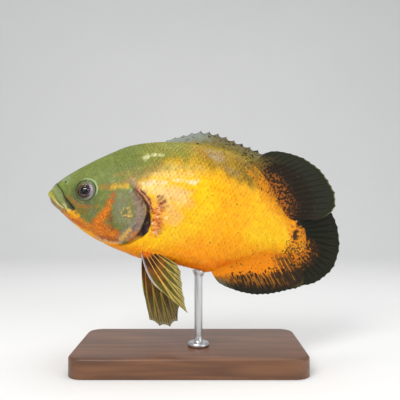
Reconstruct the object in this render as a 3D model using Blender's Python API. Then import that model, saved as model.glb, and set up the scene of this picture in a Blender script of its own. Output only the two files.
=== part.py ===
"""Oscar fish, a life-size display model held above a plain wooden base by one rod.

The fish is laid out straight first, in millimetres: x runs from the snout to the tail, y to the
fish's right side and z up. Each solid is made there, then bent, rolled and pitched into the pose
and scaled to metres.
"""

from math import cos, pi, radians, sin

import bmesh
import bpy
import numpy as np
from mathutils import Matrix

# Body, in millimetres
LENGTH = 195.0
GAP = 0.3
FIN_GAP = 0.35
RING_SIDES = 32
HEAD_END = 65.0
TRUNK_END = 170.0

# Profile tables: distance from the snout, then height or half width
BACK = (
    (0, -0.3), (0.5, 3.0), (1.8, 6.4), (4, 10.2), (7.5, 14.2), (12.5, 18.9), (18.4, 24.0), (25.2, 29.5),
    (34.8, 36.4), (44.5, 43.0), (53.8, 48.3), (64, 52), (75, 54.9), (87, 56.7), (98, 57.8), (110, 58.4),
    (122, 58.3), (134, 56.7), (146, 53), (157, 46.6), (166.5, 38), (175, 27.8), (184, 17.3), (190, 14.8),
    (195, 14.5),
)
BELLY = (
    (0, -0.3), (0.6, -2.1), (2.2, -3.7), (6.1, -6.9), (12.7, -11.8), (21, -17.2), (27.6, -21),
    (35.8, -25), (47, -28.9), (63.7, -33.2), (74.7, -35.4), (87, -36), (98, -35.9), (110, -36.6),
    (121, -37.5), (128, -37.4), (139, -31.8), (149.5, -26.6), (161, -20.8), (172, -16), (184, -14.8),
    (195, -15.5),
)
HALF_WIDTH = (
    (0, 0), (2, 5.8), (6, 8.6), (12, 11.2), (21, 13.8), (30, 15.6), (42, 17.8), (55, 19.4), (70, 20.3),
    (85, 20.2), (100, 19), (120, 16.4), (140, 13), (155, 10.2), (170, 7.6), (183, 5.8), (195, 4.6),
)
WIDEST_HEIGHT = ((0, -0.3), (12, 2), (60, 2), (90, 3), (120, 6), (150, 6), (175, 2), (195, -0.5))
TOP_SHARPNESS = ((0, 1.0), (30, 1.0), (70, 1.1), (90, 1.25), (150, 1.3), (185, 1.1), (195, 1.0))
BOTTOM_SHARPNESS = ((0, 1.0), (40, 0.95), (80, 0.88), (115, 0.95), (135, 1.25), (175, 1.2), (195, 1.0))

# Where the body's rings stand, closer together towards the snout
SNOUT_START = 0.25
SNOUT_CROWDING = 1.5
HEAD_RINGS = 23
TRUNK_RINGS = 20
STALK_RINGS = 8
HEAD_SPAN = HEAD_END - GAP / 2 - SNOUT_START
HEAD_STATIONS = SNOUT_START + HEAD_SPAN * np.linspace(0, 1, HEAD_RINGS) ** SNOUT_CROWDING
TRUNK_STATIONS = np.linspace(HEAD_END + GAP / 2, TRUNK_END - GAP / 2, TRUNK_RINGS)
STALK_STATIONS = np.linspace(TRUNK_END + GAP / 2, LENGTH, STALK_RINGS)

# Head: lines in side view, as (x, height)
MOUTH = ((-6, 2.2), (0, -0.5), (3.6, -2.6), (8.0, -5.9), (10.7, -7.7), (14.4, -9.4), (20.2, -10.7))
JAW_GROOVE = ((22.2, -8.2), (17.5, -3.7), (14.0, -0.5), (11.1, 3.8), (5.4, 9.2), (3.0, 14.0))
CHIN_GROOVE = ((26.2, -14.3), (28.4, -30.0))
JAW_FRONT = -6.0
JAW_TOP = 14.0
JAW_BOTTOM = -30.0
JAW_LOFT_END = 40.0
MOUTH_CORNER = 14.4
UPPER_LIP = 1.5
LOWER_LIP = 1.2
LIP_RISE = 0.3
LIP_SPREAD = 0.06
LIP_SINK = 0.5
LIP_STOP = 0.6
LIP_STEPS = 10
LIP_CROWDING = 1.7
LIP_TAPER = 0.45
EYE_CENTRE = (29.4, 6.1)
EYE_RADIUS = 9.3
EYE_BULGE = 5.0
EYE_SIDE = 12.8
RIM_RADIUS = 11.4
RIM_SIDE = 12.3
NOSTRIL = (12.2, 11.0)
NOSTRIL_RADIUS = 0.9
GILL_COVER = (
    (50.2, 11.0), (56, 13.4), (62, 12.6), (66.5, 10.2), (71.2, 6.2), (75.4, 1.2), (76.2, -4.6),
    (75.2, -11), (73.4, -17), (70.2, -22.2), (65, -26.4), (59.7, -28.4), (54, -28.6), (50.4, -25.6),
    (51.2, -19.5), (51.6, -14.5), (49.6, -6), (48.8, 3),
)
GILL_OPENING = (
    (50.2, 11.0), (56, 13.4), (62, 12.6), (66.5, 10.2), (71.6, 6.6), (76.8, 1.2), (78.8, -5.0),
    (79.8, -11), (79.2, -17), (75.0, -21.6), (66.4, -26.2), (59.7, -28.4), (54, -28.6), (50.4, -25.6),
    (51.2, -19.5), (51.6, -14.5), (49.6, -6), (48.8, 3),
)
GILL_CENTRE = (60.5, -7.0)
GILL_DEPTH = 2.2
GILL_LIFT = 1.2
GILL_RINGS = 4
GILL_FRONT_LIFT = 0.05
RECESS_CLEARANCE = 0.1
RECESS_OUT = 3.0

# Fins: (x, height) of the tips, front to back; the roots lie on the back and the belly
SPINES = 13
SPINE_BASE = (75.8, 147.2)
SPINE_TIPS = (
    (80.4, 57.4), (85.6, 60.4), (91.0, 63.2), (99.5, 67.6), (105, 69.6), (110, 70.3), (118.4, 69.8),
    (126.5, 68.0), (141.1, 65.2), (157.4, 61.9),
)
SOFT_DORSAL_RAYS = 20
SOFT_DORSAL_BASE = (148.2, 187.4)
SOFT_DORSAL_TIPS = (
    (158.8, 62.0), (164, 65.0), (172, 67.0), (181, 67.4), (190.8, 66.5), (201, 63.7), (210.2, 59.6),
    (218, 53.9), (224.8, 47.2), (229, 40.5), (229.6, 34.5), (227.2, 29.0), (221, 23.5), (212.5, 18.8),
)
ANAL_RAYS = 18
ANAL_BASE = (128.4, 189.5)
ANAL_TIPS = (
    (137, -44.4), (144, -46.8), (152, -48.0), (159, -48.7), (166, -48.9), (175.7, -47.4), (183, -45.4),
    (190.6, -42.6), (198, -39.6), (205.4, -36.4), (207.0, -33.6), (205.6, -28.6),
)
TAIL_RAYS = 16
TAIL_TIPS = (
    (220, 33.0), (226.5, 31.6), (232, 29.8), (238.4, 25.4), (243.4, 18.6), (246.6, 10), (247.6, 1),
    (246.2, -8), (242.6, -15.8), (236.4, -22.6), (228, -28.6), (218.5, -33), (208.6, -35.4),
)
TAIL_ROOT = (13.2, -14.0)
PELVIC_TIPS = (
    (92.8, -14.0, -55.4), (115.4, -16.5, -69.2), (111.9, -15.8, -59.6), (109.0, -15.0, -49.6),
    (106.6, -13.6, -41.2), (103.4, -12.0, -35.8),
)
FAR_PELVIC_TIPS = (
    (83.6, 13.0, -64.0), (89.6, 15.5, -79.6), (98.4, 16.5, -83.4), (106.5, 16.5, -82.4),
    (111.6, 15.5, -77.0), (111.4, 13.5, -66.0),
)
PELVIC_BOW = (-1.4, 0.0, -8.0)
PELVIC_BASE = (75.0, 86.0)
PELVIC_ANGLE = pi - 0.52
PELVIC_OFF = 0.75
PELVIC_THICKNESS = 1.8
PECTORAL_RAYS = 13
PECTORAL_BASE = ((82.0, 2.8), (85.6, -14.2))
PECTORAL_TIPS = (
    (112, 8.0), (121, 5.4), (127.5, 0.6), (130.4, -5), (130, -11), (127, -16.6), (121.6, -21.2),
    (114.5, -24.2), (106.5, -25.4), (99, -24.8),
)
PECTORAL_SPREAD = 9.0
PECTORAL_OFF = 0.9
PECTORAL_THICKNESS = 1.9
PECTORAL_BOW = 3.0
SOFT_DORSAL_BOW = (1.5, 0.0, 1.0)
ANAL_BOW = (-1.0, 0.0, -1.2)
TAIL_BOW = (1.0, 0.0, 0.0)
FIN_SWAY = 9.0
SWAY_START = LENGTH - 15.0
SWAY_REACH = 40.0
ROOT_THICKNESS = 2.6
TAIL_ROOT_SHARE = 1.9
TAIL_ROOT_LEAST = 0.4
PLATE_THICKNESS = 0.7
TIP_THICKNESS = 0.55
RAY_RIDGE = 0.34
SPINE_RIDGE = 0.5
RIDGE_TAPER = 0.75
ROOT_FADE = 0.14
RAY_LINES = (0.0, 0.22, 0.78)
NOTCH = 0.06
SPINY_NOTCH = 0.3
PELVIC_NOTCH = 0.1
FIN_ROWS = 7
STIFF_ROWS = 5
TAIL_ROWS = 8

# Pose
BEND_START = 74.1
BEND_END = 253.5
BEND_ANGLE = radians(36.0)
ROLL = radians(10.0)
PITCH = radians(9.0)

# Stand, in millimetres from the snout after the pose
BASE_SIZE = (170.0, 92.0, 14.0)
BASE_CENTRE = (106.0, 6.0)
BASE_TOP = -112.0
BASE_CORNER = 12.0
BASE_EDGE = 2.0
ROD_RADIUS = 3.0
ROD_FOOT_RADIUS = 8.0
ROD_FOOT_HEIGHT = 3.0
ROD_CUP_RADIUS = 4.5
ROD_CUP_HEIGHT = 4.0
ROD_CUP_RIM = 0.9
ROD_GAP = 0.2
CUP_GAP = 0.45
ROD_X = 120.0
ROD_SIDES = 24

# Cleaning of the meshes, in millimetres
MERGE_DISTANCE = 0.02
SLIVER = 0.005
MM = 0.001

# Colours
GREEN = (0.23, 0.27, 0.12)
OLIVE = (0.5, 0.45, 0.2)
TAUPE = (0.42, 0.36, 0.3)
ORANGE = (0.5, 0.27, 0.1)
GOLD = (0.62, 0.27, 0.04)
UMBER = (0.3, 0.13, 0.03)
GREY = (0.16, 0.17, 0.15)
BLACK = (0.03, 0.03, 0.02)
RUST = (0.25, 0.1, 0.02)
OCHRE = (0.4, 0.24, 0.08)
AMBER = (0.5, 0.35, 0.12)
MAROON = (0.2, 0.12, 0.12)
WALNUT = (0.2, 0.1, 0.045)
STEEL = (0.6, 0.6, 0.62)


def clear_scene():
    for obj in list(bpy.data.objects):
        bpy.data.objects.remove(obj)


def slopes(xs, ys):
    """Slopes at the table's points that never overshoot it."""
    steps = np.diff(ys) / np.diff(xs)
    inner = np.where(steps[:-1] * steps[1:] > 0, 2 * steps[:-1] * steps[1:] / (steps[:-1] + steps[1:]), 0)
    return np.concatenate([steps[:1], inner, steps[-1:]])


def through(table, where, root=False):
    """Smooth curve through a table of (x, value); root reads it against the square root of x."""
    xs, ys = np.array(table, float).T
    where = np.clip(np.asarray(where, float), xs[0], xs[-1])
    if root:
        xs = np.sqrt(xs)
        where = np.sqrt(where)
    with np.errstate(divide="ignore", invalid="ignore"):
        tangents = slopes(xs, ys)
    index = np.clip(np.searchsorted(xs, where, side="right") - 1, 0, len(xs) - 2)
    span = xs[index + 1] - xs[index]
    t = (where - xs[index]) / span
    start = (1 + 2 * t) * (1 - t) ** 2 * ys[index] + t * (1 - t) ** 2 * span * tangents[index]
    end = t * t * (3 - 2 * t) * ys[index + 1] + t * t * (t - 1) * span * tangents[index + 1]
    return start + end


def section(x):
    """Widest height, top and bottom reach from it, half width and the two sharpness values at x."""
    middle = through(WIDEST_HEIGHT, x)
    top = through(BACK, x, root=True) - middle
    bottom = middle - through(BELLY, x, root=True)
    width = through(HALF_WIDTH, x, root=True)
    return middle, top, bottom, width, through(TOP_SHARPNESS, x), through(BOTTOM_SHARPNESS, x)


def skin(x, angle):
    """Point on the body at x; angle is 0 on the back, pi on the belly, positive on the right."""
    middle, top, bottom, width, sharp_top, sharp_bottom = section(x)
    upper = np.cos(angle) > 0
    sharpness = np.where(upper, sharp_top, sharp_bottom)
    side = width * np.sign(np.sin(angle)) * np.abs(np.sin(angle)) ** sharpness
    height = middle + np.where(upper, top, bottom) * np.cos(angle)
    return np.stack(np.broadcast_arrays(x, side, height), axis=-1)


def skin_side(x, height):
    """Half width of the body at x and this height."""
    middle, top, bottom, width, sharp_top, sharp_bottom = section(x)
    upper = height > middle
    level = np.clip((height - middle) / np.where(upper, top, bottom), -1, 1)
    return width * (1 - level**2) ** (np.where(upper, sharp_top, sharp_bottom) / 2)


def skin_angle(x, height):
    """Angle that skin() takes to reach this height on the right side."""
    middle, top, bottom, _, _, _ = section(x)
    return np.arccos(np.clip((height - middle) / np.where(height > middle, top, bottom), -1, 1))


def skin_normal(x, angle):
    """Outward direction of the body's surface."""
    step = 0.01
    along = skin(x + step, angle) - skin(x - step, angle)
    around = skin(x, angle + step) - skin(x, angle - step)
    normal = np.cross(along, around)
    return normal / np.linalg.norm(normal, axis=-1, keepdims=True)


def resample(points, count):
    """Evenly spaced points along a line of points."""
    points = np.array(points, float)
    lengths = np.concatenate([[0], np.cumsum(np.linalg.norm(np.diff(points, axis=0), axis=1))])
    where = np.linspace(0, lengths[-1], count)
    return np.stack([np.interp(where, lengths, column) for column in points.T], axis=1)


def solid(name, points, faces):
    """Object from points and faces, with its faces turned outwards."""
    mesh = bpy.data.meshes.new(name)
    mesh.from_pydata([tuple(map(float, point)) for point in points], [], faces)
    work = bmesh.new()
    work.from_mesh(mesh)
    bmesh.ops.recalc_face_normals(work, faces=work.faces)
    bmesh.ops.triangulate(work, faces=work.faces)
    work.to_mesh(mesh)
    work.free()
    obj = bpy.data.objects.new(name, mesh)
    bpy.context.collection.objects.link(obj)
    return obj


def boolean(body, tool, operation):
    """Applies one Boolean of the tool to the body and removes the tool."""
    modifier = body.modifiers.new("Boolean", "BOOLEAN")
    modifier.operation = operation
    modifier.object = tool
    bpy.context.view_layer.objects.active = body
    bpy.ops.object.modifier_apply(modifier=modifier.name)
    bpy.data.objects.remove(tool)


def ring_faces(rings, sides):
    """Quads between successive closed rings of points."""
    faces = []
    for ring in range(rings - 1):
        for side in range(sides):
            after = (side + 1) % sides
            faces.append((ring * sides + side, ring * sides + after, (ring + 1) * sides + after,
                          (ring + 1) * sides + side))
    return faces


def body_loft(name, stations):
    """Closed length of the body through these stations."""
    angles = np.arange(RING_SIDES) * 2 * pi / RING_SIDES
    points = np.concatenate([skin(np.full(RING_SIDES, x), angles) for x in stations])
    faces = ring_faces(len(stations), RING_SIDES)
    faces.append(tuple(range(RING_SIDES)))
    last = (len(stations) - 1) * RING_SIDES
    faces.append(tuple(range(last, last + RING_SIDES)))
    return solid(name, points, faces)


def prism(name, outline, half_width=40.0):
    """Side-view outline, given as (x, height), extended across the body."""
    count = len(outline)
    points = [(x, side, z) for side in (-half_width, half_width) for x, z in outline]
    faces = ring_faces(2, count)
    faces.append(tuple(range(count)))
    faces.append(tuple(range(count, 2 * count)))
    return solid(name, points, faces)


def grown(outline, distance):
    """Closed outline moved outwards by a distance, or inwards by a negative one."""
    points = np.array(outline, float)
    before = points - np.roll(points, 1, axis=0)
    after = np.roll(points, -1, axis=0) - points
    area = np.sum(points[:, 0] * np.roll(points[:, 1], -1) - np.roll(points[:, 0], -1) * points[:, 1])
    turn = np.array([1.0, -1.0]) * np.sign(area)
    first = (before[:, ::-1] * turn) / np.linalg.norm(before, axis=1, keepdims=True)
    second = (after[:, ::-1] * turn) / np.linalg.norm(after, axis=1, keepdims=True)
    middle = (first + second) / np.linalg.norm(first + second, axis=1, keepdims=True)
    reach = np.maximum(np.sum(middle * first, axis=1, keepdims=True), 0.5)
    return points + middle * distance / reach


def rounded(outline):
    """Closed outline with its corners cut once, which doubles its points."""
    points = np.array(outline, float)
    after = np.roll(points, -1, axis=0)
    return np.stack([points * 0.75 + after * 0.25, points * 0.25 + after * 0.75], axis=1).reshape(-1, 2)


def ball(name, centre, radii, segments=22, rings=11):
    """Ellipsoid with its poles on the y axis."""
    work = bmesh.new()
    bmesh.ops.create_uvsphere(work, u_segments=segments, v_segments=rings, radius=1.0)
    points = np.array([vertex.co[:] for vertex in work.verts])[:, (0, 2, 1)] * radii + centre
    faces = [tuple(vertex.index for vertex in face.verts) for face in work.faces]
    work.free()
    return solid(name, points, faces)


def tube(name, path, radii, sides=6):
    """Round tube along a path, closed at both ends."""
    path = np.array(path, float)
    along = np.gradient(path, axis=0)
    along /= np.linalg.norm(along, axis=1, keepdims=True)
    up = np.array([0.0, 0.0, 1.0])
    across = np.cross(along, up)
    across /= np.linalg.norm(across, axis=1, keepdims=True)
    rise = np.cross(across, along)
    points = []
    for centre, side, lift, radius in zip(path, across, rise, radii):
        for step in range(sides):
            turn = 2 * pi * (step + 0.5) / sides
            points.append(centre + radius * (cos(turn) * side + sin(turn) * lift))
    faces = ring_faces(len(path), sides)
    faces.append(tuple(range(sides)))
    faces.append(tuple(range(len(points) - sides, len(points))))
    return solid(name, points, faces)


def mouth_line(x):
    return np.interp(x, *np.array(MOUTH, float).T)


def lip(name, direction, radius):
    """Rounded lip that runs from one corner of the mouth, round the snout, to the other."""
    def height_at(x):
        return mouth_line(x) + direction * (radius + LIP_RISE + LIP_SPREAD * x)

    nearby = np.linspace(0.05, 5, 200)
    front = nearby[np.argmax(skin_side(nearby, height_at(nearby)) > LIP_SINK)]
    steps = np.linspace(0, 1, LIP_STEPS)
    x = front + (MOUTH_CORNER - LIP_STOP - front) * steps**LIP_CROWDING
    side = skin_side(x, height_at(x)) - LIP_SINK
    half = np.stack([x, side, height_at(x)], axis=1)
    half[0] = (front + LIP_SINK, 0, height_at(front))
    radii = radius * (1 - LIP_TAPER * steps**3)
    other_half = half[:0:-1] * (1, -1, 1)
    return tube(name, np.concatenate([other_half, half]), np.concatenate([radii[:0:-1], radii]))


def upper_region():
    return [*MOUTH, *JAW_GROOVE, (JAW_FRONT, JAW_TOP)]


def lower_region():
    return [*MOUTH, *CHIN_GROOVE, (JAW_FRONT, JAW_BOTTOM)]


def make_jaw(name, region, direction, radius):
    """Front of the head inside one side-view region, with its lip above or below the mouth."""
    jaw = body_loft(name, HEAD_STATIONS[HEAD_STATIONS < JAW_LOFT_END])
    boolean(jaw, prism("jaw_side", grown(region, -GAP / 2)), "INTERSECT")
    boolean(jaw, lip("lip", direction, radius), "UNION")
    return jaw


def patch(name, outline, grow, heights):
    """Closed plate over the body's right side, between two heights above the surface.

    The heights are given for the outline's front and its rear, as (inner, outer) pairs.
    """
    edge = grown(rounded(outline), grow)
    angles = skin_angle(edge[:, 0], edge[:, 1])
    centre = np.array([GILL_CENTRE[0], float(skin_angle(*np.array(GILL_CENTRE)))])
    rim = np.stack([edge[:, 0], angles], axis=1)
    low, high = edge[:, 0].min(), edge[:, 0].max()
    layers = []
    for layer in (0, 1):
        rows = []
        for ring in range(1, GILL_RINGS + 1):
            spot = centre + (rim - centre) * ring / GILL_RINGS
            rear = np.clip((spot[:, 0] - low) / (high - low), 0, 1)[:, None] ** 2
            lift = heights[0][layer] * (1 - rear) + heights[1][layer] * rear
            rows.append(skin(spot[:, 0], spot[:, 1]) + skin_normal(spot[:, 0], spot[:, 1]) * lift)
        hub = skin(*centre) + skin_normal(*centre) * (heights[0][layer] + heights[1][layer]) / 2
        layers.append(np.concatenate([[hub], *rows]))
    count = len(edge)
    size = 1 + count * GILL_RINGS
    faces = []
    for start in (0, size):
        faces += [(start, start + 1 + side, start + 1 + (side + 1) % count) for side in range(count)]
        faces += [tuple(start + 1 + corner for corner in face) for face in ring_faces(GILL_RINGS, count)]
    last = 1 + count * (GILL_RINGS - 1)
    for side in range(count):
        after = (side + 1) % count
        faces.append((last + side, last + after, size + last + after, size + last + side))
    return solid(name, np.concatenate(layers), faces)


def mirrored(obj, name):
    """Copy of an object on the fish's other side."""
    points = [(v.co.x, -v.co.y, v.co.z) for v in obj.data.vertices]
    faces = [tuple(reversed(face.vertices)) for face in obj.data.polygons]
    return solid(name, points, faces)


def gill_recess():
    """Tool for the right gill opening, larger all round than the gill cover."""
    depth = (-GILL_DEPTH - GAP, RECESS_OUT)
    return patch("recess", GILL_OPENING, GAP + RECESS_CLEARANCE, (depth, depth))


def cut_both_sides(body, tool):
    """Cuts the tool and its mirror image from the body."""
    boolean(body, mirrored(tool, "other_side"), "DIFFERENCE")
    boolean(body, tool, "DIFFERENCE")


def make_head():
    """Head with its jaws cut free, orbital rims, eye sockets, nostrils and gill openings."""
    head = body_loft("head", HEAD_STATIONS)
    outline = [MOUTH[0], (JAW_FRONT, JAW_TOP), *reversed(JAW_GROOVE), MOUTH[-1], *CHIN_GROOVE,
               (JAW_FRONT, JAW_BOTTOM)]
    boolean(head, prism("jaws", grown(outline, GAP / 2)), "DIFFERENCE")
    x, height = EYE_CENTRE
    for side in (-1, 1):
        rim_radii = (RIM_RADIUS, EYE_BULGE, RIM_RADIUS)
        boolean(head, ball("rim", (x, side * RIM_SIDE, height), rim_radii), "UNION")
        socket = np.array((EYE_RADIUS, EYE_BULGE, EYE_RADIUS)) + GAP
        boolean(head, ball("socket", (x, side * EYE_SIDE, height), socket), "DIFFERENCE")
        pit = (NOSTRIL[0], side * float(skin_side(*np.array(NOSTRIL))), NOSTRIL[1])
        boolean(head, ball("nostril", pit, (NOSTRIL_RADIUS,) * 3, 10, 6), "DIFFERENCE")
    cut_both_sides(head, gill_recess())
    return head


def make_trunk():
    trunk = body_loft("trunk", TRUNK_STATIONS)
    cut_both_sides(trunk, gill_recess())
    return trunk


def fin(name, roots, tips, rows, thickness, bow=(0, 0, 0), notch=NOTCH, ridge=RAY_RIDGE):
    """Fin of one ray for each root and tip, with the rays raised in both faces of its membrane.

    thickness is (root, plate, tip); root may be one value for each ray. notch is how far the
    membrane falls short of the ray tips. bow moves the middle of the rays, and may be one
    vector for each ray.
    """
    roots, tips = np.array(roots, float), np.array(tips, float)
    rays = len(roots)
    middles = (roots + tips) / 2 + np.broadcast_to(np.array(bow, float), (rays, 3))
    places = np.array(sorted({i + step for i in range(rays) for step in RAY_LINES if i + step <= rays - 1}))
    down = np.linspace(0, 1, rows)
    grid = []
    for place in places:
        low = min(int(place), rays - 2)
        part = place - low
        root = roots[low] * (1 - part) + roots[low + 1] * part
        tip = tips[low] * (1 - part) + tips[low + 1] * part
        between = 1 - abs(2 * (place % 1) - 1)
        reach = down * (1 - notch * between)
        middle = middles[low] * (1 - part) + middles[low + 1] * part
        line = [(1 - v) ** 2 * root + 2 * v * (1 - v) * middle + v * v * tip for v in reach]
        grid.append(line)
    grid = np.array(grid)
    across = np.cross(np.gradient(grid, axis=0), np.gradient(grid, axis=1))
    across /= np.linalg.norm(across, axis=2, keepdims=True)
    root_thick = np.interp(places, np.arange(rays), np.broadcast_to(thickness[0], rays))[:, None]
    fade = np.exp(-down / ROOT_FADE)[None, :]
    plate = thickness[1] * (1 - down) + thickness[2] * down
    thick = plate[None, :] + (root_thick - thickness[1]) * fade
    crest = (np.abs(places - np.round(places)) < 0.01)[:, None]
    thick = thick + np.where(crest, 2 * ridge * (1 - RIDGE_TAPER * down[None, :]), 0)
    half = across * thick[:, :, None] / 2
    return sheet(name, grid + half, grid - half)


def sheet(name, front, back):
    """Closed sheet from two grids of points, triangulated alike on both faces."""
    columns, rows, _ = front.shape
    size = columns * rows
    faces = []
    for start in (0, size):
        for i in range(columns - 1):
            for j in range(rows - 1):
                a = start + i * rows + j
                faces += [(a, a + rows, a + rows + 1), (a, a + rows + 1, a + 1)]
    edge = [i * rows for i in range(columns)]
    edge += [(columns - 1) * rows + j for j in range(1, rows)]
    edge += [i * rows + rows - 1 for i in range(columns - 2, -1, -1)]
    edge += list(range(rows - 2, 0, -1))
    for first, second in zip(edge, edge[1:] + edge[:1]):
        faces.append((first, second, second + size, first + size))
    return solid(name, np.concatenate([front.reshape(-1, 3), back.reshape(-1, 3)]), faces)


def flat_rays(base, tips, count, edge, sway=0.0):
    """Roots on the back or belly line and tips along a line, for a fin on the middle plane."""
    stations = np.concatenate([TRUNK_STATIONS, STALK_STATIONS])
    heights = through(edge, stations, root=True)
    x = np.linspace(*base, count)
    height = np.interp(x, stations, heights)
    slope = np.interp(x + 1, stations, heights) - np.interp(x - 1, stations, heights)
    slope = slope / 2
    away = np.sign(tips[0][1]) * FIN_GAP / np.sqrt(1 + slope**2)
    roots = np.stack([x - slope * away, np.zeros(count), height + away], axis=1)
    ends = resample(tips, count)
    swing = -sway * (1 - np.exp(-np.maximum(ends[:, 0] - SWAY_START, 0) / SWAY_REACH))
    return roots, np.stack([ends[:, 0], swing, ends[:, 1]], axis=1)


def make_dorsal_fins():
    """Low spiny part, then the tall soft part whose lobe swings to the fish's left."""
    roots, tips = flat_rays(SPINE_BASE, SPINE_TIPS, SPINES, BACK)
    thickness = (ROOT_THICKNESS, PLATE_THICKNESS, TIP_THICKNESS)
    spiny = fin("dorsal_fin_spiny", roots, tips, STIFF_ROWS, thickness, notch=SPINY_NOTCH, ridge=SPINE_RIDGE)
    roots, tips = flat_rays(SOFT_DORSAL_BASE, SOFT_DORSAL_TIPS, SOFT_DORSAL_RAYS, BACK, FIN_SWAY)
    soft = fin("dorsal_fin_soft", roots, tips, FIN_ROWS, thickness, SOFT_DORSAL_BOW)
    return spiny, soft


def make_anal_fin():
    roots, tips = flat_rays(ANAL_BASE, ANAL_TIPS, ANAL_RAYS, BELLY, FIN_SWAY)
    thickness = (ROOT_THICKNESS, PLATE_THICKNESS, TIP_THICKNESS)
    return fin("anal_fin", roots, tips, FIN_ROWS, thickness, ANAL_BOW)


def make_tail_fin():
    """Rounded fan that grows from the end face of the tail stalk."""
    height = np.linspace(*TAIL_ROOT, TAIL_RAYS)
    roots = np.stack([np.full(TAIL_RAYS, LENGTH + GAP), np.zeros(TAIL_RAYS), height], axis=1)
    ends = resample(TAIL_TIPS, TAIL_RAYS)
    tips = np.stack([ends[:, 0], np.zeros(TAIL_RAYS), ends[:, 1]], axis=1)
    thick = TAIL_ROOT_SHARE * skin_side(np.full(TAIL_RAYS, LENGTH), height) + TAIL_ROOT_LEAST
    return fin("caudal_fin", roots, tips, TAIL_ROWS, (thick, PLATE_THICKNESS, TIP_THICKNESS), TAIL_BOW)


def make_pelvic_fin(name, tips, side):
    """One spine and five soft rays below the chest; side is -1 on the left and 1 on the right."""
    count = len(tips)
    x = np.linspace(*PELVIC_BASE, count)
    angle = np.full(count, PELVIC_ANGLE)
    roots = skin(x, angle) + skin_normal(x, angle) * (FIN_GAP + PELVIC_OFF)
    roots = roots * (1, side, 1)
    bow = np.array(PELVIC_BOW) * (np.linspace(1, 0, count)[:, None]) ** 2
    thickness = (PELVIC_THICKNESS, PLATE_THICKNESS, TIP_THICKNESS)
    return fin(name, roots, tips, FIN_ROWS, thickness, bow, PELVIC_NOTCH, SPINE_RIDGE)


def make_pectoral_fin(name, side):
    """Clear paddle behind the gill opening, folded back along the flank."""
    base = resample(PECTORAL_BASE, PECTORAL_RAYS)
    angles = skin_angle(base[:, 0], base[:, 1])
    roots = skin(base[:, 0], angles) + skin_normal(base[:, 0], angles) * (FIN_GAP + PECTORAL_OFF)
    ends = resample(PECTORAL_TIPS, PECTORAL_RAYS)
    widest = skin_side(ends[:, 0], ends[:, 1]) + PECTORAL_SPREAD
    tips = np.stack([ends[:, 0], widest, ends[:, 1]], axis=1)
    both = (1, side, 1)
    thickness = (PECTORAL_THICKNESS, PLATE_THICKNESS, TIP_THICKNESS)
    return fin(name, roots * both, tips * both, STIFF_ROWS, thickness, (0, side * PECTORAL_BOW, 0))


def bend(points):
    """Points of the straight fish moved into the pose, in metres."""
    xs = np.linspace(-20, 270, 581)
    part = np.clip((xs - BEND_START) / (BEND_END - BEND_START), 0, 1)
    heading = BEND_ANGLE * part * part * (3 - 2 * part)
    start = int(np.argmin(np.abs(xs)))
    step = xs[1] - xs[0]
    centre = []
    for track in (np.cos(heading), np.sin(heading)):
        total = np.concatenate([[0], np.cumsum((track[1:] + track[:-1]) / 2 * step)])
        centre.append(np.interp(points[:, 0], xs, total - total[start]))
    turn = np.interp(points[:, 0], xs, heading)
    x = centre[0] - points[:, 1] * np.sin(turn)
    y = centre[1] + points[:, 1] * np.cos(turn)
    z = points[:, 2]
    y, z = y * cos(ROLL) + z * sin(ROLL), -y * sin(ROLL) + z * cos(ROLL)
    x, z = x * cos(PITCH) + z * sin(PITCH), -x * sin(PITCH) + z * cos(PITCH)
    return placed(np.stack([x, y, z], axis=1))


def placed(points):
    """Millimetres from the snout to metres, with the stand's base on the floor."""
    floor = (0, 0, BASE_TOP - BASE_SIZE[2])
    return (points - np.array(floor)) * MM


def clean(mesh):
    """Triangulates, drops slivers and keeps the largest piece."""
    work = bmesh.new()
    work.from_mesh(mesh)
    bmesh.ops.triangulate(work, faces=work.faces)
    bmesh.ops.remove_doubles(work, verts=work.verts, dist=MERGE_DISTANCE)
    bmesh.ops.dissolve_degenerate(work, dist=SLIVER, edges=work.edges)
    bmesh.ops.holes_fill(work, edges=[edge for edge in work.edges if edge.is_boundary])
    bmesh.ops.triangulate(work, faces=work.faces)
    left = set(work.verts)
    pieces = []
    while left:
        piece = {left.pop()}
        edge = list(piece)
        while edge:
            near = {link.other_vert(vertex) for vertex in edge for link in vertex.link_edges} & left
            left -= near
            piece |= near
            edge = list(near)
        pieces.append(piece)
    pieces.sort(key=len)
    spare = [vertex for piece in pieces[:-1] for vertex in piece]
    bmesh.ops.delete(work, geom=spare, context="VERTS")
    work.to_mesh(mesh)
    work.free()


def pose(obj):
    """Cleans an object of the straight fish and moves it into the pose."""
    clean(obj.data)
    points = bend(np.array([vertex.co[:] for vertex in obj.data.vertices]))
    for vertex, point in zip(obj.data.vertices, points):
        vertex.co = point


def dress(obj, colour, roughness, metallic=0.0):
    """Gives the object its own material."""
    material = bpy.data.materials.new(obj.name)
    material.use_nodes = True
    shader = material.node_tree.nodes["Principled BSDF"]
    shader.inputs["Base Color"].default_value = (*colour, 1.0)
    shader.inputs["Roughness"].default_value = roughness
    shader.inputs["Metallic"].default_value = metallic
    obj.data.materials.append(material)


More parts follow.
